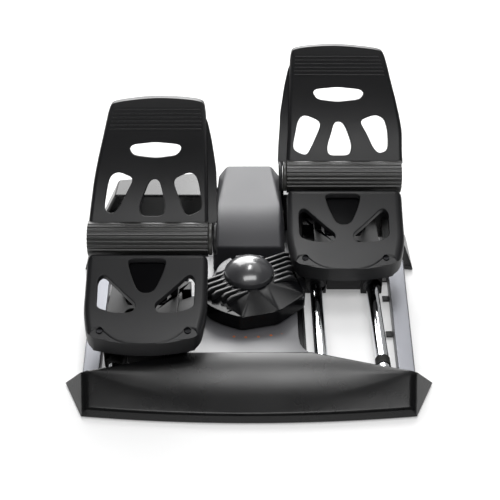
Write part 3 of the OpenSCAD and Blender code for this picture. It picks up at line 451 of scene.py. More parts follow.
skyOut = skyTree.nodes.new("ShaderNodeOutputWorld")
skyTree.links.new(skyGlow.outputs[0], skyOut.inputs["Surface"])
print("stage set")

# Base covers: hulls over placed points, shelled, with their outer edges broken

def wrapPoints(name, points):
    deselectAll()
    bpy.ops.mesh.primitive_circle_add(vertices=len(points), radius=mm)
    made = bpy.context.object
    made.name = name
    for vertex, point in zip(made.data.vertices, points):
        vertex.co = [v * mm for v in point]
    editAll(made)
    bpy.ops.mesh.convex_hull()
    bpy.ops.mesh.select_all(action="SELECT")
    bpy.ops.mesh.dissolve_limited(angle_limit=math.radians(0.4))
    bpy.ops.mesh.normals_make_consistent(inside=False)
    leaveEdit()
    return made


def roundChosen(piece, width, segments, wanted, least=25):
    # rounds only the edges that wanted() picks by their two ends
    clearChoice(piece, "EDGE")
    probe = bmesh.new()
    probe.from_mesh(piece.data)
    for edge, real in zip(probe.edges, piece.data.edges):
        if len(edge.link_faces) == 2 and edge.calc_face_angle(0) > math.radians(least):
            real.select = bool(wanted(edge.verts[0].co / mm, edge.verts[1].co / mm))
    probe.free()
    bpy.ops.object.mode_set(mode="EDIT")
    bpy.ops.mesh.bevel(offset=width * mm, segments=segments, affect="EDGES", clamp_overlap=False)
    leaveEdit()


def brick(name, low, high):
    return planBlock(name, [(low[0], low[1]), (high[0], low[1]), (high[0], high[1]), (low[0], high[1])],
                     low[2], high[2])


def joinPieces(piece, *others):
    pick(piece)
    for other in others:
        other.select_set(True)
    bpy.context.view_layer.objects.active = piece
    bpy.ops.object.join()


rails = {"inner": 75.75, "outer": 139.25, "z": 15.5, "radius": 7, "hole": 7.3, "rearEnd": 146.0,
         "innerStart": 128.0, "outerStart": 141.0, "ring": 7.8}
pedals = {"x": -107.5, "y": -62.5, "stroke": 125, "half": 64, "hinge": (53, 100)}


def boreRails(piece, y, length):
    for x in (-rails["outer"], -rails["inner"], rails["inner"], rails["outer"]):
        cutAway(piece, rod("hole", rails["hole"], length, (x, y, rails["z"]), alongY))


def addBosses(piece, row, length, z):
    joinPieces(piece, *[rod("boss", row["boss"], length, (side * x, row["screwY"], z))
                        for side in (-1, 1) for x in row["screwX"]])


frontBar = {"footCorner": 168, "topCorner": 165, "bow": 9.5, "steps": 16, "reach": 188, "draft": 3, "edge": 11,
            "height": 30, "tip": (190, -129.5), "backFoot": (65, -110), "crestTip": (168, -142),
            "crest": (65, -112.5), "wall": 2.6, "screwX": (54.5, 120), "screwY": -150.25, "boss": 4.5}


def frontPoints(t, z):
    b = frontBar
    points = []
    for i in range(-b["steps"], b["steps"] + 1):
        k = i / b["steps"]
        points.append(((b["footCorner"] - t) * k, t - b["reach"] + b["bow"] * k * k, z))
        points.append(((b["topCorner"] - t) * k, t + b["draft"] - b["reach"] + b["bow"] * k * k, b["edge"] - t))
    for side in (-1, 1):
        points.append((side * (b["tip"][0] - t), b["tip"][1] - t, z))
        points.append((side * b["backFoot"][0], b["backFoot"][1] - t, z))
        points.append((side * (b["crestTip"][0] - t), b["crestTip"][1] - t / 2, b["height"] - t))
        points.append((side * b["crest"][0], b["crest"][1] - t, b["height"] - t))
    return points


bar = wrapPoints("frontBarCover", frontPoints(0, 2))
roundChosen(bar, 6, 5, lambda p, q: abs(abs(p.x) - abs(q.x)) < 14 and p.x * q.x > 0 and abs(p.x) > 150
            and max(p.z, q.z) > 20 and min(p.z, q.z) > 5, 20)
roundChosen(bar, 2.2, 4, lambda p, q: min(p.z, q.z) > 7 and (max(p.z, q.z) < 11.5 or min(p.z, q.z) > 29
            and max(p.y, q.y) > -141))
# the crest is a broad soft curve that fades out towards the ends
crest = {"y": -142, "reach": 27, "drop": 2.9, "fade": 70, "roof": 23.5, "end": 154, "across": 14, "along": 3}
slices = [((x * mm, 0, 0), (1, 0, 0)) for x in range(-crest["end"], crest["end"] + 1, crest["across"])]
slices += [((0, (crest["y"] + y) * mm, 0), (0, 1, 0))
           for y in range(-crest["reach"], crest["reach"] + 1, crest["along"])]
for place, facing in slices:
    editAll(bar)
    bpy.ops.mesh.bisect(plane_co=place, plane_no=facing)
leaveEdit()
for point in bar.data.vertices:
    x, y, z = point.co / mm
    if z > 11.5 and abs(y - crest["y"]) < crest["reach"]:
        fade = min(1, max(0, frontBar["crestTip"][0] - abs(x)) / crest["fade"])
        point.co.z -= crest["drop"] * (1 - abs(y - crest["y"]) / crest["reach"]) ** 2 * fade * mm
hollow = [(x, y, min(z, crest["roof"])) for x, y, z in frontPoints(frontBar["wall"], 1)]
cutAway(bar, wrapPoints("pocket", hollow))
boreRails(bar, -115, 60)
smooth(bar)
addBosses(bar, frontBar, 18, 14.5)
dress(bar, finishes["charcoal_abs"], "base")
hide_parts("front_bar")
print("front bar")

rearBar = {"tip": 192, "faceFoot": (192, 131.5), "faceTop": (160, 126.5, 66), "backTop": (158, 162.5, 66),
           "midTop": (41, 182.5, 66), "endFoot": (187, 168), "midFoot": (41, 188), "wall": 2.6,
           "spineSeat": 40.7, "spineHalf": 41.3, "screwX": (54.5, 120), "screwY": 157.25, "boss": 4.5,
           "gland": 7.02}


def rearPoints(t, z):
    b = rearBar
    points = []
    for side in (-1, 1):
        points += [(side * (b["faceFoot"][0] - t), b["faceFoot"][1] + t, z),
                   (side * (b["faceTop"][0] - t), b["faceTop"][1] + t, b["faceTop"][2] - t),
                   (side * (b["backTop"][0] - t), b["backTop"][1] - t, b["backTop"][2] - t),
                   (side * b["midTop"][0], b["midTop"][1] - t, b["midTop"][2] - t),
                   (side * (b["endFoot"][0] - t), b["endFoot"][1] - t, z),
                   (side * b["midFoot"][0], b["midFoot"][1] - t, z)]
    return points


bar = wrapPoints("rearBarCover", rearPoints(0, 2))
roundChosen(bar, 3, 4, lambda p, q: max(p.z, q.z) > 40)
cutAway(bar, wrapPoints("pocket", rearPoints(rearBar["wall"], 1)))
cutAway(bar, brick("spineRoom", (-rearBar["spineHalf"], 100, rearBar["spineSeat"]),
                   (rearBar["spineHalf"], 200, 80)))
boreRails(bar, 130, 30)
cutAway(bar, rod("hole", rearBar["gland"], 30, (0, 185, 20.5), alongY))
smooth(bar)
addBosses(bar, rearBar, 55, 33.5)
dress(bar, finishes["charcoal_abs"], "base")
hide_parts("rear_bar")

wing = {"points": [(193, 64.5, 2), (192, 64.5, 6.5), (179, 64.5, 11), (160, 69.5, 11), (160, 69.5, 2),
                   (192, 132, 2), (160, 132, 2), (160, 131.2, 30), (177, 131.2, 30)], "edge": 1.6}
for side, name in ((-1, "left"), (1, "right")):
    piece = wrapPoints("rearWing_" + name, [(side * x, y, z) for x, y, z in wing["points"]])
    roundChosen(piece, wing["edge"], 3, lambda p, q: max(p.z, q.z) > 5 and max(p.y, q.y) < 131)
    smooth(piece)
    dress(piece, finishes["charcoal_abs"], "base")
    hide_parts("rear_wing_" + name)
print("rear bar and wings")

spine = {"rearHalf": 27, "topHalf": 36, "foot": 41, "height": 70, "nose": (44, 50), "fold": 75, "front": 44,
         "reach": 188, "nip": 4, "chamfer": 12, "wall": 2.6, "low": 16.8, "seat": 41, "bend": 26, "steps": 8}


def spinePoints(t, z):
    s = spine
    fold, nose = Vector((s["fold"], s["height"])), Vector((s["front"], s["nose"][1]))
    back = Vector((s["fold"] + s["bend"], s["height"]))
    fore = fold + (nose - fold).normalized() * s["bend"]
    points = []
    for side in (-1, 1):
        points.append((side * (s["rearHalf"] - t), s["reach"] - t, s["height"] - t))
        for i in range(s["steps"] + 1):
            k = i / s["steps"]
            y, z2 = back * (1 - k) ** 2 + fold * 2 * k * (1 - k) + fore * k * k
            points.append((side * (s["topHalf"] - t), y, z2 - t))
        points += [(side * (s["topHalf"] - t), s["front"] + t, s["nose"][1] - t),
                   (side * (s["foot"] - t), s["fold"], s["height"] - s["chamfer"] - t / 2),
                   (side * (s["foot"] - s["nip"] - t), s["reach"] - s["nip"] - t,
                    s["height"] - s["chamfer"] - t / 2),
                   (side * (s["foot"] - t), s["front"] + t, s["nose"][1] - s["chamfer"] / 2),
                   (side * (s["foot"] - t), s["front"] + t, z),
                   (side * (s["foot"] - s["nip"] - t), s["reach"] - s["nip"] - t, z)]
    return points


cover = wrapPoints("spineCover", spinePoints(0, spine["low"]))
roundChosen(cover, 2.4, 4, lambda p, q: max(p.z, q.z) > 42, 20)
for point in cover.data.vertices:
    point.co.z = max(point.co.z, spine["low"] * mm)
cutAway(cover, wrapPoints("pocket", spinePoints(spine["wall"], 10)))
cutAway(cover, brick("seatRoom", (-90, 126.2, 0), (90, 200, spine["seat"])))
smooth(cover)
dress(cover, finishes["spine_silver"], "base")
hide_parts("spine_cover")

deck = {"half": 53, "flare": 63, "front": -112.2, "rear": 126.2, "z": 16.5, "low": 5.3, "tongueY": -62,
        "tongueZ": 26, "tongueEnd": -114.4, "wall": 2.6, "bend": 14, "bush": 8.02, "studX": 23,
        "studY": (87, 117.5), "stud": 3}


def deckSide(t):
    # the fold where the deck turns up into the tongue is a soft curve
    d = deck
    top = Vector((d["tongueEnd"] + t, d["tongueZ"] - t))
    fold = Vector((d["tongueY"] - t / 2, d["z"] - t))
    up = (top - fold).normalized()
    corners = [(d["front"] + t, d["low"] - (1 if t else 0)), (d["rear"] - t, d["low"] - (1 if t else 0)),
               (d["rear"] - t, d["z"] - t)]
    back, fore = fold + Vector((d["bend"], 0)), fold + up * d["bend"]
    for i in range(9):
        k = i / 8
        point = back * (1 - k) ** 2 + fold * 2 * k * (1 - k) + fore * k * k
        corners.append((point.x, point.y))
    return corners + [(top.x, top.y)]


def deckPlan(t):
    d = deck
    right = [(d["flare"] - t, -115), (d["flare"] - t, -111.7), (d["flare"] - 1.2 - t, -106),
             (d["half"] + 3.6 - t, -98.5), (d["half"] + 1 - t, -90), (d["half"] - t, -75),
             (d["half"] - t, 126.5)]
    return right + mirroredX(right)


floorDeck = sideBlock("centreDeck", deckSide(0), 70)
joinTool(floorDeck, planBlock("outline", deckPlan(0), 0, 30), "INTERSECT")
inside = sideBlock("inside", deckSide(deck["wall"]), 70)
joinTool(inside, planBlock("outline", deckPlan(deck["wall"]), 0, 30), "INTERSECT")
cutAway(floorDeck, inside)
cutAway(floorDeck, rod("bushHole", deck["bush"], 40, (0, 0, 10)))
cleanFlats(floorDeck)
roundEdges(floorDeck, 0.8, 2, 40)
studs = [rod("stud", deck["stud"], 9.9, (side * deck["studX"], y, 19.05))
         for side in (-1, 1) for y in deck["studY"]]
joinPieces(floorDeck, *studs)
# the deck's lighter grey is painted reflection of the lamps on black plastic
dress(floorDeck, finishes["deck_grey"], "base")
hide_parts("centre_deck")
print("spine and deck")

# Rails and what carries them

railRows = {"rail_left_outer": (-1, "outer"), "rail_left_inner": (-1, "inner"),
            "rail_right_inner": (1, "inner"), "rail_right_outer": (1, "outer")}
for node, (side, place) in railRows.items():
    start = -rails[place + "Start"]
    piece = rod("bar_" + node, rails["radius"], rails["rearEnd"] - start,
                (side * rails[place], (rails["rearEnd"] + start) / 2, rails["z"]), alongY, 72)
    roundEdges(piece, 0.8, 2)
    dress(piece, finishes["rail_steel"], "base")
    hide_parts(node)

copies = {"front_plate": 0.4, "rear_plate": 0.4, "centre_tray": 0.4, "side_panel_left": 1.6,
          "side_panel_right": 1.6, "front_saddles": 0.7, "rear_sockets": 0.7, "rubber_feet": 0.8,
          "base_screws": 0.25, "front_buffers": 0.4, "rear_buffers": 0.5, "rotor_bush": 0.3,
          "cable_gland": 0.5, "control_board": 0.2, "friction_washer": 0.1, "rotor_arm": 0.8,
          "rotor_axle": 0.6, "rotor_nut": 0.5, "rotor_pins": 0.6, "rotor_rollers": 0.3}
for side in ("left", "right"):
    copies.update({"carriage_" + side: 1.0, "slide_bushes_" + side: 0.3, "bracket_" + side: 0.9,
                   "heel_screws_" + side: 0.3, "hinge_axle_" + side: 0.7, "axle_rings_" + side: 0.3,
                   "brake_sensor_" + side: 0.8, "toe_bushes_" + side: 0.25})
bodyOf = {node: body for body, nodes in frame["record"]["behaviour"]["bodies"].items() for node in nodes}
for node, width in copies.items():
    look = "black_screw" if node.startswith("heel_screws") else slotOf[node]
    made = finishedCopy("made_" + node, node, width)
    if node == "front_buffers":
        # only a slim ring of each buffer shows round its rail
        for point in made.data.vertices:
            row = "inner" if abs(point.co.x) < -pedals["x"] * mm else "outer"
            middle = math.copysign(rails[row], point.co.x) * mm
            off = math.hypot(point.co.x - middle, point.co.z - rails["z"] * mm)
            k = min(1, rails["ring"] * mm / off)
            point.co.x = middle + (point.co.x - middle) * k
            point.co.z = rails["z"] * mm + (point.co.z - rails["z"] * mm) * k
    dress(made, finishes[look], bodyOf[node])
print("rails and fittings")

# Rotor, drawn unturned and then turned to its rest place

rotor = {"turn": 30.174, "radius": 64, "skirtLow": 19, "lip": 36.5, "rise": 8.5, "sideFoot": 52, "crown": 29.5,
         "domeRoom": 27.4, "hubRoom": 10, "pocket": 34.3, "armHalf": 9.3, "wall": 2.6, "collarFrom": 19,
         "collarOut": 37, "collarIn": 28, "collarTop": 45.5, "notch": 5}
rotorOutline = [(0, -1), (0.625, -0.83), (0.82, -0.55), (0.94, -0.28), (0.94, 0.25), (0.62, 0.3), (0.42, 0.5),
                (0.2, 0.6), (-0.2, 0.6), (-0.42, 0.5), (-0.62, 0.3), (-0.94, 0.25), (-0.94, -0.28),
                (-0.82, -0.55), (-0.625, -0.83)]
fins = {"count": 6, "pitch": 8, "middle": -6, "thick": 3.4, "start": 16, "end": 54, "rake": 0.33, "low": 34.6,
        "top": 46, "fall": 6, "shy": 4.6}
rotorTurn = Matrix.Rotation(math.radians(rotor["turn"]), 4, "Z")


def rotorBlock(name, radius, low, high, corner):
    outline = [(x * radius, y * radius) for x, y in rotorOutline]
    return planBlock(name, roundedCorners(outline, corner), low, high)


hood = rotorBlock("rotorHood", rotor["radius"], rotor["skirtLow"], rotor["lip"], 5)
# the top slopes up in flats from the lip to the dome
selectFaces(hood, lambda centre, normal: normal.z > 0.9)
bpy.ops.mesh.inset(thickness=1.1 * mm)
bpy.ops.transform.translate(value=(0, 0, 0.2 * mm))
leaveEdit()
foot = [(x * (rotor["radius"] - 1.6), y * (rotor["radius"] - 1.6)) if y < -0.7 else
        (x * rotor["sideFoot"], y * rotor["sideFoot"]) for x, y in rotorOutline]
slopePoints = [(x, y, rotor["lip"] + above) for above in (0.2, -2) for x, y in foot]
slopePoints += [(rotor["crown"] * math.cos(a), rotor["crown"] * math.sin(a), rotor["lip"] + rotor["rise"])
                for a in [math.radians(i * 7.5) for i in range(48)]]
slope = wrapPoints("slope", slopePoints)
joinTool(slope, rotorBlock("outline", rotor["radius"] - 1.2, 30, 60, 5), "INTERSECT")
joinTool(hood, slope, "UNION")
cutAway(hood, rotorBlock("pocket", rotor["radius"] - rotor["wall"], 10, rotor["pocket"], 3))
armRoom = brick("armRoom", (-125, -rotor["armHalf"], 10), (125, rotor["armHalf"], rotor["pocket"]))
cutAway(hood, armRoom)
cutAway(hood, rod("domeRoom", rotor["domeRoom"], 40, (0, 0, rotor["lip"] + 20), points=96))
cutAway(hood, rod("hubRoom", rotor["hubRoom"], 40, (0, 0, 40)))
collarRoom = rod("collarRoom", rotor["collarOut"] + 0.3, 40, (0, 0, rotor["lip"] + 20), points=96)
joinTool(collarRoom, brick("back", (-60, rotor["collarFrom"] - 0.3, 0), (60, 60, 90)), "INTERSECT")
cutAway(hood, collarRoom)
cleanFlats(hood)
roundEdges(hood, 0.5, 2, 24)
hood.data.transform(rotorTurn)
dress(hood, finishes["gloss_black"], "rotor")
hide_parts("rotor_cover")

finSet = []
for side in (-1, 1):
    for i in range(fins["count"]):
        y = (i - (fins["count"] - 1) / 2) * fins["pitch"]
        # the two front fins stay short of the heel plate that passes them
        reach = fins["end"] + fins["rake"] * y - (fins["shy"] if i < 2 else 0)
        middle = fins["middle"] + y
        fin = frontBlock("fin", [(fins["start"], fins["low"]), (reach, fins["low"]), (reach, fins["top"] - 3),
                                 (reach - fins["fall"], fins["top"]), (fins["start"], fins["top"])],
                         middle - fins["thick"] / 2, middle + fins["thick"] / 2)
        cutAway(fin, rod("domeRoom", rotor["domeRoom"], 60, (0, 0, 50), points=96))
        roundEdges(fin, 1.1, 4)
        if side < 0:
            fin.data.transform(Matrix.Scale(-1, 4, (1, 0, 0)))
            fin.data.flip_normals()
        finSet.append(fin)
joinPieces(*finSet)
finSet[0].name = "rotorFins"
finSet[0].data.transform(rotorTurn)
dress(finSet[0], finishes["fin_grey"], "rotor")

collarProfile = [(rotor["collarIn"], rotor["lip"] + 0.02), (rotor["collarOut"], rotor["lip"] + 0.02),
                 (rotor["collarOut"], rotor["collarTop"]), (rotor["collarIn"], rotor["collarTop"])]
collar = spunRing("rotorCollar", collarProfile, (0, 0, 0), (0, 0, 1), 96)
cutAway(collar, brick("front", (-60, -60, 0), (60, rotor["collarFrom"], 90)))
cutAway(collar, brick("notch", (-rotor["notch"] / 2, 0, rotor["collarTop"] - rotor["notch"]),
                      (rotor["notch"] / 2, 60, 90)))
cleanFlats(collar)
roundEdges(collar, 1.3, 4)
collar.data.transform(rotorTurn)
dress(collar, finishes["collar_grey"], "rotor")
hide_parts("collar_ring")

dome = {"radius": 27, "low": 36.52, "edge": 50.5, "rise": 14, "wall": 2.6}
ball = (dome["radius"] ** 2 + dome["rise"] ** 2) / (2 * dome["rise"])
capProfile = [(dome["radius"] - dome["wall"], dome["low"]), (dome["radius"], dome["low"])]
for i in range(25):
    a = math.asin(dome["radius"] / ball) * (1 - i / 24)
    capProfile.append((ball * math.sin(a), dome["edge"] + dome["rise"] - ball + ball * math.cos(a)))
capProfile += [(0, dome["edge"] - 1), (dome["radius"] - dome["wall"], dome["edge"] - 1)]
cap = spunRing("rotorDome", capProfile, (0, 0, 0), (0, 0, 1), 96)
roundEdges(cap, 0.8, 3, 30)
dress(cap, finishes["dome_gloss"], "rotor")
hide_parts("dome_cap")
print("rotor")

# Pedals: the left one is drawn in its own frame, +X towards the middle, and the right one mirrors it

def placeLeft(piece):
    piece.data.transform(Matrix.Translation((pedals["x"] * mm, pedals["y"] * mm, 0)))


# the photo shows the right pedal's outer side a little wider than the left one's mirror image
widening = {"from": 50, "low": 0.3, "start": 118, "rise": 27, "shift": 3.2, "outer": (0.115, 0.12),
            "inner": 0.03}


def rightFit(x, z, high):
    w, place = widening, x + pedals["x"]
    if not high:
        return x + max(0, place - w["from"]) * w["low"]
    up = min(1, max(0, (z - w["start"]) / w["rise"]))
    up = up * up * (3 - 2 * up)
    share = w["outer"][1] * up + w["outer"][0] * (1 - up) if place > 0 else w["inner"] * up
    return x + w["shift"] * up + share * place


def finishPair(piece, name, material, body, node=None):
    placeLeft(piece)
    piece.name = name + "_left"
    twin = twinOf(piece, name + "_right")
    for point in twin.data.vertices:
        point.co.x = rightFit(point.co.x / mm, point.co.z / mm, name in ("toePad", "toeRibs")) * mm
    for made, side in ((piece, "left"), (twin, "right")):
        dress(made, material, body + "_" + side)
        if node:
            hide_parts(node + "_" + side)


toe = {"start": (56.5, 118.8), "end": (117, 236), "sag": 11.8, "depth": 14, "taper": 0.47, "face": 5,
       "top": 236, "edge": 5.0, "lip": 0.9, "slotWidth": 58, "slotHeight": 16, "slotX": 8, "slotZ": 0.53,
       "flankDeep": (6, 20)}
toeOutline = [(1, -0.18), (1, 0), (0.97, 0.9), (0.9, 0.97), (0.19, 1), (-0.52, 0.955), (-0.615, 0.91),
              (-0.75, 0.64), (-0.84, 0.47), (-0.92, 0.29), (-0.95, 0.18), (-1, 0), (-1, -0.18)]
insetOutline = [(0.94, -0.3), (0.94, 0), (0.91, 0.89), (0.85, 0.935), (0.19, 0.965), (-0.48, 0.925),
                (-0.56, 0.88), (-0.69, 0.63), (-0.78, 0.46), (-0.86, 0.28), (-0.89, 0.17), (-0.94, 0),
                (-0.94, -0.3)]
flankOutline = [(0.93, 0), (1.156, 0), (1.13, 0.37), (1.06, 0.6), (1.0, 0.75), (0.93, 0.84)]
toeWindows = [
    ([(-0.5, 0.365), (-0.22, 0.31), (-0.48, 0.09), (-0.6, 0.045), (-0.76, 0.08), (-0.7, 0.25),
      (-0.65, 0.33)], 7),
    ([(0.02, 0.305), (0.19, 0.305), (0.3, 0.11), (0.26, 0.035), (-0.13, 0.035), (-0.165, 0.11)], 7),
    ([(0.38, 0.3), (0.7, 0.365), (0.83, 0.32), (0.91, 0.12), (0.88, 0.07), (0.64, 0.03), (0.55, 0.1)], 8)]
slotOutline = [(-1, 0.05), (-0.86, 0.38), (0, 0.54), (0.88, 0.4), (1, 0.12), (0.8, -0.36), (0, -0.52),
               (-0.84, -0.36)]


def steppedBlock(name, corners, start, toward, moves):
    # a filled outline pushed along z; each move narrows it by its first value and goes on by its second
    deselectAll()
    bpy.ops.mesh.primitive_circle_add(vertices=len(corners), radius=mm, fill_type="NGON")
    block = bpy.context.object
    block.name = name
    for point, (x, y) in zip(block.data.vertices, corners):
        point.co = (x * mm, y * mm, start * mm)
    block.data.update()
    facing = block.data.polygons[0].normal.z
    editAll(block)
    if facing * toward < 0:
        bpy.ops.mesh.flip_normals()
    for narrow, go in moves:
        if narrow > 0:
            bpy.ops.mesh.inset(thickness=narrow * mm, depth=go * mm)
        else:
            bpy.ops.mesh.extrude_region_move(TRANSFORM_OT_translate={"value": (0, 0, go * toward * mm)})
    bpy.ops.mesh.select_all(action="SELECT")
    bpy.ops.mesh.normals_make_consistent(inside=False)
    leaveEdit()
    return block


def quarterMoves(radius, count, mouth=False):
    # rounds the end of a block, or opens the mouth of a cutter
    turns = [math.pi / 2 * i / count for i in range(count + 1)]
    if mouth:
        return [(radius * (math.sin(b) - math.sin(a)), radius * (math.cos(a) - math.cos(b)))
                for a, b in zip(turns, turns[1:])]
    return [(radius * (math.cos(a) - math.cos(b)), radius * (math.sin(b) - math.sin(a)))
            for a, b in zip(turns, turns[1:])]


def softSlab(name, corners, low, high, radius, count=5):
    return steppedBlock(name, corners, low, 1, [(0, high - low - radius)] + quarterMoves(radius, count))


def softWindow(name, corners, deep, lip, count=3):
    return steppedBlock(name, corners, 2, -1, [(0, 2)] + quarterMoves(lip, count, True) + [(0, deep)])


def bendPiece(piece, first, last, count, place):
    # sliced across so that it follows the curve it is laid on
    for i in range(1, count):
        editAll(piece)
        bpy.ops.mesh.bisect(plane_co=(0, (first + (last - first) * i / count) * mm, 0), plane_no=(0, 1, 0))
    leaveEdit()
    for point in piece.data.vertices:
        point.co = [v * mm for v in place(*(point.co / mm))]
    piece.data.update()


def arcOf(row):
    (py, pz), (qy, qz) = row["start"], row["end"]
    dy, dz = qy - py, qz - pz
    chord = math.hypot(dy, dz)
    radius = (chord * chord / 4 + row["sag"] ** 2) / (2 * row["sag"])
    reach = radius - row["sag"]
    return (py + qy) / 2 - dz / chord * reach, (pz + qz) / 2 + dy / chord * reach, radius


toeY, toeZ, toeRadius = arcOf(toe)
toeFrom = math.atan2(toe["start"][1] - toeZ, toe["start"][0] - toeY)
toeLong = toeRadius * (math.atan2(toe["end"][1] - toeZ, toe["end"][0] - toeY) - toeFrom)


def toeFlat(x, z):
    return x, toeRadius * (math.asin((z - toeZ) / toeRadius) - toeFrom)


def toeMap(shares):
    return [(x * pedals["half"], toe["start"][1] + z * (toe["top"] - toe["start"][1])) for x, z in shares]


def toeDrawn(shares, radius, steps=6):
    return [toeFlat(x, z) for x, z in roundedCorners(toeMap(shares), radius, steps)]


def toePlace(x, along, out):
    # the skirt grows shallower towards the top, and the flank behind it fades out
    deep, share = -out, max(0, along) / toeLong
    if deep > toe["face"]:
        back = toe["depth"] * (1 - toe["taper"] * share)
        kept = (min(deep, toe["depth"]) - toe["face"]) / (toe["depth"] - toe["face"])
        past = max(0, deep - toe["depth"]) * max(0, 1 - 1.4 * share)
        deep = toe["face"] + kept * (back - toe["face"]) + past
    turn = toeFrom + along / toeRadius
    return x, toeY + (toeRadius + deep) * math.cos(turn), toeZ + (toeRadius + deep) * math.sin(turn)


# the sides are well rounded, the top edge is crisp
sideOutline = [(1, -0.18), (1, 0), (0.97, 0.9), (0.96, 1.18), (-0.48, 1.18), (-0.615, 0.91)] + toeOutline[7:]
pad = softSlab("toePad", toeDrawn(sideOutline, 24), -toe["depth"], 0, toe["edge"], 6)
joinTool(pad, planBlock("topCurve", toeDrawn(toeOutline, 24), -40, 10), "INTERSECT")
flank = softSlab("flank", toeDrawn(flankOutline, 4), -toe["flankDeep"][1], -toe["flankDeep"][0], 0.8, 3)
joinTool(pad, flank, "UNION")
cutAway(pad, brick("below", (-90, -60, -40), (90, 0, 10)))
cutAway(pad, planBlock("inside", toeDrawn(insetOutline, 16), -40, -toe["face"]))
for outline, corner in toeWindows:
    cutAway(pad, softWindow("window", toeDrawn(outline, corner, 7), 8, toe["lip"]))
slotMiddle = toe["start"][1] + toe["slotZ"] * (toe["top"] - toe["start"][1])
slotCorners = [(toe["slotX"] + x * toe["slotWidth"] / 2, slotMiddle + z * toe["slotHeight"])
               for x, z in slotOutline]
slotDrawn = [toeFlat(x, z) for x, z in roundedCorners(slotCorners, 6, 7)]
cutAway(pad, softWindow("slot", slotDrawn, 8, toe["lip"]))
bendPiece(pad, 0, toeLong, 44, toePlace)
smooth(pad, 40)
finishPair(pad, "toePad", finishes["pedal_nylon"], "toe", "toe_pad")

# low ribs across the top of the toe pad
ribs = {"count": 6, "first": 0.741, "step": 0.0312, "half": 1.1, "high": 0.9, "sunk": 0.6, "gap": 1.2}


def spanAt(corners, level):
    crossed = []
    for (ax, ay), (bx, by) in zip(corners, corners[1:] + corners[:1]):
        if (ay - level) * (by - level) < 0:
            crossed.append(ax + (bx - ax) * (level - ay) / (by - ay))
    return min(crossed), max(crossed)


ribSet = []
ribLimits = toeDrawn(insetOutline, 16)
for i in range(ribs["count"]):
    along = toeLong * (ribs["first"] + i * ribs["step"])
    left, right = spanAt(ribLimits, along)
    corners = [(left + ribs["gap"], along - ribs["half"]), (right - ribs["gap"], along - ribs["half"]),
               (right - ribs["gap"], along + ribs["half"]), (left + ribs["gap"], along + ribs["half"])]
    rib = softSlab("rib", roundedCorners(corners, 1.1, 3), -ribs["sunk"], ribs["high"], 1.0, 4)
    bendPiece(rib, 0, 1, 1, toePlace)
    smooth(rib)
    ribSet.append(rib)
joinPieces(*ribSet)
finishPair(ribSet[0], "toeRibs", finishes["pedal_nylon"], "toe")
print("toe pads")

band = {"radius": 19.5, "inner": 16.5, "from": 60, "to": 228, "groove": 0.95, "count": 7, "first": 96,
        "pitch": 14, "lugX": 42, "lugWide": 8, "lug": 17.5, "bore": 7.02, "knuckleTo": 68.6, "lobeFrom": 69.2,
        "lobeTo": 73.4}


def bandRadius(angle):
    # rounded ribs with narrow valleys between them
    place = (angle - band["first"]) / band["pitch"]
    off = abs(place - round(place)) * band["pitch"]
    if -0.5 < place < band["count"] - 0.5 and off < 4:
        return band["radius"] - band["groove"] * (1 - (off / 4) ** 2) ** 0.5
    return band["radius"]


def bandPoint(angle, radius):
    a = math.radians(angle)
    return pedals["hinge"][0] + radius * math.cos(a), pedals["hinge"][1] + radius * math.sin(a)


bandAngles = [band["from"] + i for i in range(band["to"] - band["from"] + 1)]
profile = [bandPoint(a, bandRadius(a)) for a in bandAngles]
profile += [bandPoint(a, band["inner"]) for a in bandAngles[::-6]]
ribbed = sideBlock("ribbedBand", profile, pedals["half"])
roundEdges(ribbed, 0.5, 2, 50, 30)
lugs = [rod("lug", band["lug"], band["lugWide"], (side * band["lugX"], *pedals["hinge"]), alongX, 72)
        for side in (-1, 1)]
for lug in lugs:
    cutAway(lug, rod("bore", band["bore"], 200, (0, *pedals["hinge"]), alongX))
    roundEdges(lug, 0.6, 2, 50)
joinPieces(ribbed, *lugs)
finishPair(ribbed, "ribbedBand", finishes["band_nylon"], "toe")

# smooth end of the band and the flank's round lobe beside it
knuckleProfile = [bandPoint(a, band["radius"] - 0.2) for a in range(84, 215, 3)]
knuckleProfile += [bandPoint(a, 12) for a in range(214, 83, -10)]
knuckle = sideBlock("knuckle", knuckleProfile, band["knuckleTo"], pedals["half"])
roundEdges(knuckle, 1.5, 4, 45)
finishPair(knuckle, "bandEnd", finishes["band_end"], "toe")
lobeProfile = [bandPoint(a, 17.5) for a in range(60, 236, 4)] + [bandPoint(a, 10) for a in range(250, 59, -10)]
lobe = sideBlock("lobe", lobeProfile, band["lobeTo"], band["lobeFrom"])
roundEdges(lobe, 1.3, 4, 45)
finishPair(lobe, "flankLobe", finishes["pedal_nylon"], "toe")
print("bands")

heel = {"start": (-65, 55), "end": (33, 97.7), "sag": 4.6, "depth": 12.6, "apron": 17.4, "apronTo": -57,
        "face": 5.3, "wall": 3.5, "front": -66, "foot": 38, "nips": (0, 0, 2, 5), "falls": (0, 55, 69, 83),
        "corner": 11, "cornerLong": 9, "bow": 9, "screwX": 45, "screwY": -50, "head": 56, "hole": 3.7,
        "shank": 2.3, "edge": 7, "lip": 0.9, "step": 1.3, "stepLip": 1.6, "rise": -38}
heelWindows = [([(-0.34, 0.41), (0.34, 0.41), (0.29, 0.2), (0.13, -0.14), (-0.13, -0.14), (-0.29, 0.2)], 8),
               ([(-0.81, 0.1), (-0.7, 0.19), (-0.13, -0.31), (-0.19, -0.47), (-0.55, -0.455),
                 (-0.8, -0.37)], 6)]
heelY, heelZ, heelRadius = arcOf(heel)


def heelPlan(t):
    half = pedals["half"]
    right = [(half - t - nip, heel["end"][0] - fall) for nip, fall in zip(heel["nips"], heel["falls"])]
    right.append((half - t - heel["corner"], heel["cornerLong"] + heel["front"] + t / 2))
    front = []
    for i in range(-9, 10):
        k = -i / 10
        front.append(((half - t - heel["corner"]) * k, t + heel["front"] + heel["bow"] * k * k))
    return right + front + mirroredX(right)


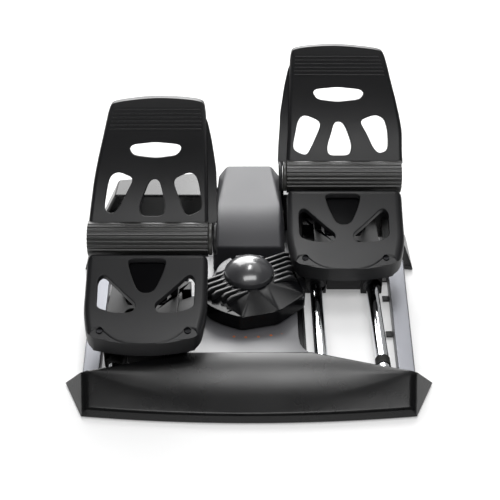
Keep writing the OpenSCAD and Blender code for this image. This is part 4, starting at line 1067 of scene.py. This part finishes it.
def scaledOutline(outline):
    return [(x * pedals["half"], -y * heel["front"]) for x, y in outline]


def heelPlace(x, y, out):
    # drawn flat, then laid on the dished face
    z = heelZ - math.sqrt(heelRadius ** 2 - (y - heelY) ** 2) + out
    return x, y, heel["foot"] if out < -heel["apron"] + 0.1 else z


# its sides are well rounded and its front edge is crisp
sides = [(64, 33), (64, -22), (62, -36), (59, -50), (57, -66), (56, -100)]
plate = softSlab("heelPlate", roundedCorners(sides + mirroredX(sides), 7, 4), -heel["apron"], 0,
                 heel["edge"], 7)
joinTool(plate, planBlock("frontCurve", roundedCorners(heelPlan(0), 7, 4), -40, 10), "INTERSECT")
roundChosen(plate, 0.8, 3, lambda p, q: min(p.z, q.z) > -0.05 and max(p.y, q.y) < -52)
underside = [(heel["apronTo"], -40), (heel["apronTo"], -heel["apron"]), (heel["rise"], -heel["depth"]),
             (60, -heel["depth"]), (60, -40)]
cutAway(plate, sideBlock("under", underside, 90))
cutAway(plate, planBlock("inside", roundedCorners(heelPlan(heel["wall"]), 4, 4), -40, -heel["face"]))
windows = [scaledOutline(heelWindows[0][0]), scaledOutline(heelWindows[1][0]),
           mirroredX(scaledOutline(heelWindows[1][0]))]
for outline, corner in zip(windows, (9, 6, 6)):
    cutAway(plate, softWindow("window", roundedCorners(outline, corner, 7), 9, heel["lip"]))
# the ears round the two screws lie a step lower than the face, and the step's edge draws the curved line
smile = [(57.5, -60), (56.5, -53), (53.5, -48), (49, -45.4), (45, -46), (41, -48.8), (36, -53.6), (30, -58.4),
         (20, -63), (10, -65.2)]
smile = smile + [(0, -65.8)] + mirroredX(smile)
ears = steppedBlock("ears", roundedCorners(smile, 6, 3) + [(-80, -62), (-80, -80), (80, -80), (80, -62)], 2, -1,
                    [(0, 2), (heel["stepLip"], heel["step"] - 0.1), (0, 0.1)])
cutAway(plate, ears)
bendPiece(plate, heel["front"], heel["end"][0], 36, heelPlace)
for side in (-1, 1):
    cutAway(plate, rod("hole", heel["hole"], 60, (side * heel["screwX"], heel["screwY"], heel["head"] + 30)))
    cutAway(plate, rod("shank", heel["shank"], 60, (side * heel["screwX"], heel["screwY"], 50)))
smooth(plate, 40)
finishPair(plate, "heelPlate", finishes["pedal_nylon"], "slide", "heel_plate")

# a thin dark sheet closes the middle window from below: painted shade, standing in for the shade seen through
# the window
shadeSheet = {"half": 22, "front": -13, "rear": 31, "low": -11, "high": -8.5}
shadeSheetCorners = [(-shadeSheet["half"], shadeSheet["front"]), (shadeSheet["half"], shadeSheet["front"]),
              (shadeSheet["half"], shadeSheet["rear"]), (-shadeSheet["half"], shadeSheet["rear"])]
shadeSheetPiece = softSlab("shadeSheetPiece", roundedCorners(shadeSheetCorners, 6), shadeSheet["low"], shadeSheet["high"], 0.8, 3)
bendPiece(shadeSheetPiece, shadeSheet["front"], shadeSheet["rear"], 6, heelPlace)
smooth(shadeSheetPiece)
finishPair(shadeSheetPiece, "heelShadeSheet", finishes["gloss_black"], "slide")
print("heel plates")

coil = {"radius": 7.5, "wire": 1.1, "turns": 7, "half": 17, "down": -11.7, "up": 14.2, "perTurn": 28}
coilPath = [(-coil["half"], coil["radius"], z) for z in (coil["down"], coil["down"] / 2)]
for i in range(coil["turns"] * coil["perTurn"] + 1):
    k = i / (coil["turns"] * coil["perTurn"])
    a = math.tau * coil["turns"] * k
    coilPath.append(((2 * k - 1) * coil["half"], coil["radius"] * math.cos(a), coil["radius"] * math.sin(a)))
coilPath += [(coil["half"], coil["radius"], z) for z in (coil["up"] / 2, coil["up"])]
for side, name in ((-1, "left"), (1, "right")):
    middle = pedals["hinge"][0] + side * pedals["stroke"] / 2
    deselectAll()
    bpy.ops.curve.primitive_bezier_curve_add()
    wire = bpy.context.object
    wire.data.splines.clear()
    line = wire.data.splines.new("POLY")
    line.points.add(len(coilPath) - 1)
    for point, (x, y, z) in zip(line.points, coilPath):
        point.co = ((x + pedals["x"]) * mm * -side, (y + middle) * mm, (z + pedals["hinge"][1]) * mm, 1)
    wire.data.dimensions = "3D"
    wire.data.bevel_depth = coil["wire"] * mm
    wire.data.bevel_resolution = 3
    wire.data.use_fill_caps = True
    pick(wire)
    bpy.ops.object.convert(target="MESH")
    wire = bpy.context.object
    bpy.ops.object.transform_apply(location=True, rotation=True, scale=True)
    wire.name = "toeSpringCoil_" + name
    editAll(wire)
    bpy.ops.mesh.normals_make_consistent(inside=False)
    leaveEdit()
    bpy.ops.object.shade_smooth_by_angle(angle=math.radians(40))
    paint(wire, finishes["zinc_steel"])
    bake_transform(wire)
    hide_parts("toe_spring_" + name)
print("springs")

# dark tabs between the side panels and the outer rails
tabs = {"places": (-118, -58, 4, 40), "long": 9, "low": 2.2, "high": 4.0, "inward": 8, "outward": 1.5,
        "panelX": 154.5, "panelY": -141, "splay": 7 / 205}
tabSet = []
for side in (-1, 1):
    for y in tabs["places"]:
        panel = tabs["panelX"] + (y - tabs["panelY"]) * tabs["splay"]
        near, far, rear = side * (panel - tabs["inward"]), side * (panel + tabs["outward"]), y + tabs["long"]
        piece = planBlock("tab", [(near, y), (far, y), (far, rear), (near, rear)], tabs["low"], tabs["high"])
        roundEdges(piece, 0.4, 2)
        tabSet.append(piece)
joinPieces(*tabSet)
tabSet[0].name = "panelTabs"
dress(tabSet[0], finishes["black_abs"], "base")

# five plain marks printed in an arc on the deck's raised tongue, before the rotor
marks = {"points": [(-16, -76), (-3.5, -77.5), (10, -76.5), (23.5, -73.5), (35, -69)], "long": 2.6, "wide": 3.4,
         "high": 0.12, "sunk": 0.9}


def tongueLevel(y):
    d = deck
    return d["z"] + (d["tongueY"] - y) * (d["tongueZ"] - d["z"]) / (d["tongueY"] - d["tongueEnd"])


markSet = []
for i, (x, y) in enumerate(marks["points"]):
    (farX, farY), (nearX, nearY) = marks["points"][min(i + 1, 4)], marks["points"][max(i - 1, 0)]
    turn = math.atan2(farY - nearY, farX - nearX)
    corners = [(marks["long"] / 2 * a, marks["wide"] / 2 * b) for a, b in ((-1, -1), (1, -1), (1, 1), (-1, 1))]
    corners = [(x + u * math.cos(turn) - v * math.sin(turn), y + u * math.sin(turn) + v * math.cos(turn))
               for u, v in corners]
    level = tongueLevel(y)
    mark = planBlock("mark", roundedCorners(corners, 0.6, 3), level - marks["sunk"], level + marks["high"])
    for point in mark.data.vertices:
        if point.co.z > level * mm:
            point.co.z = (tongueLevel(point.co.y / mm) + marks["high"]) * mm
    markSet.append(mark)
joinPieces(*markSet)
markSet[0].name = "deckMarks"
dress(markSet[0], finishes["orange_ink"], "base")
print("tabs and marks")
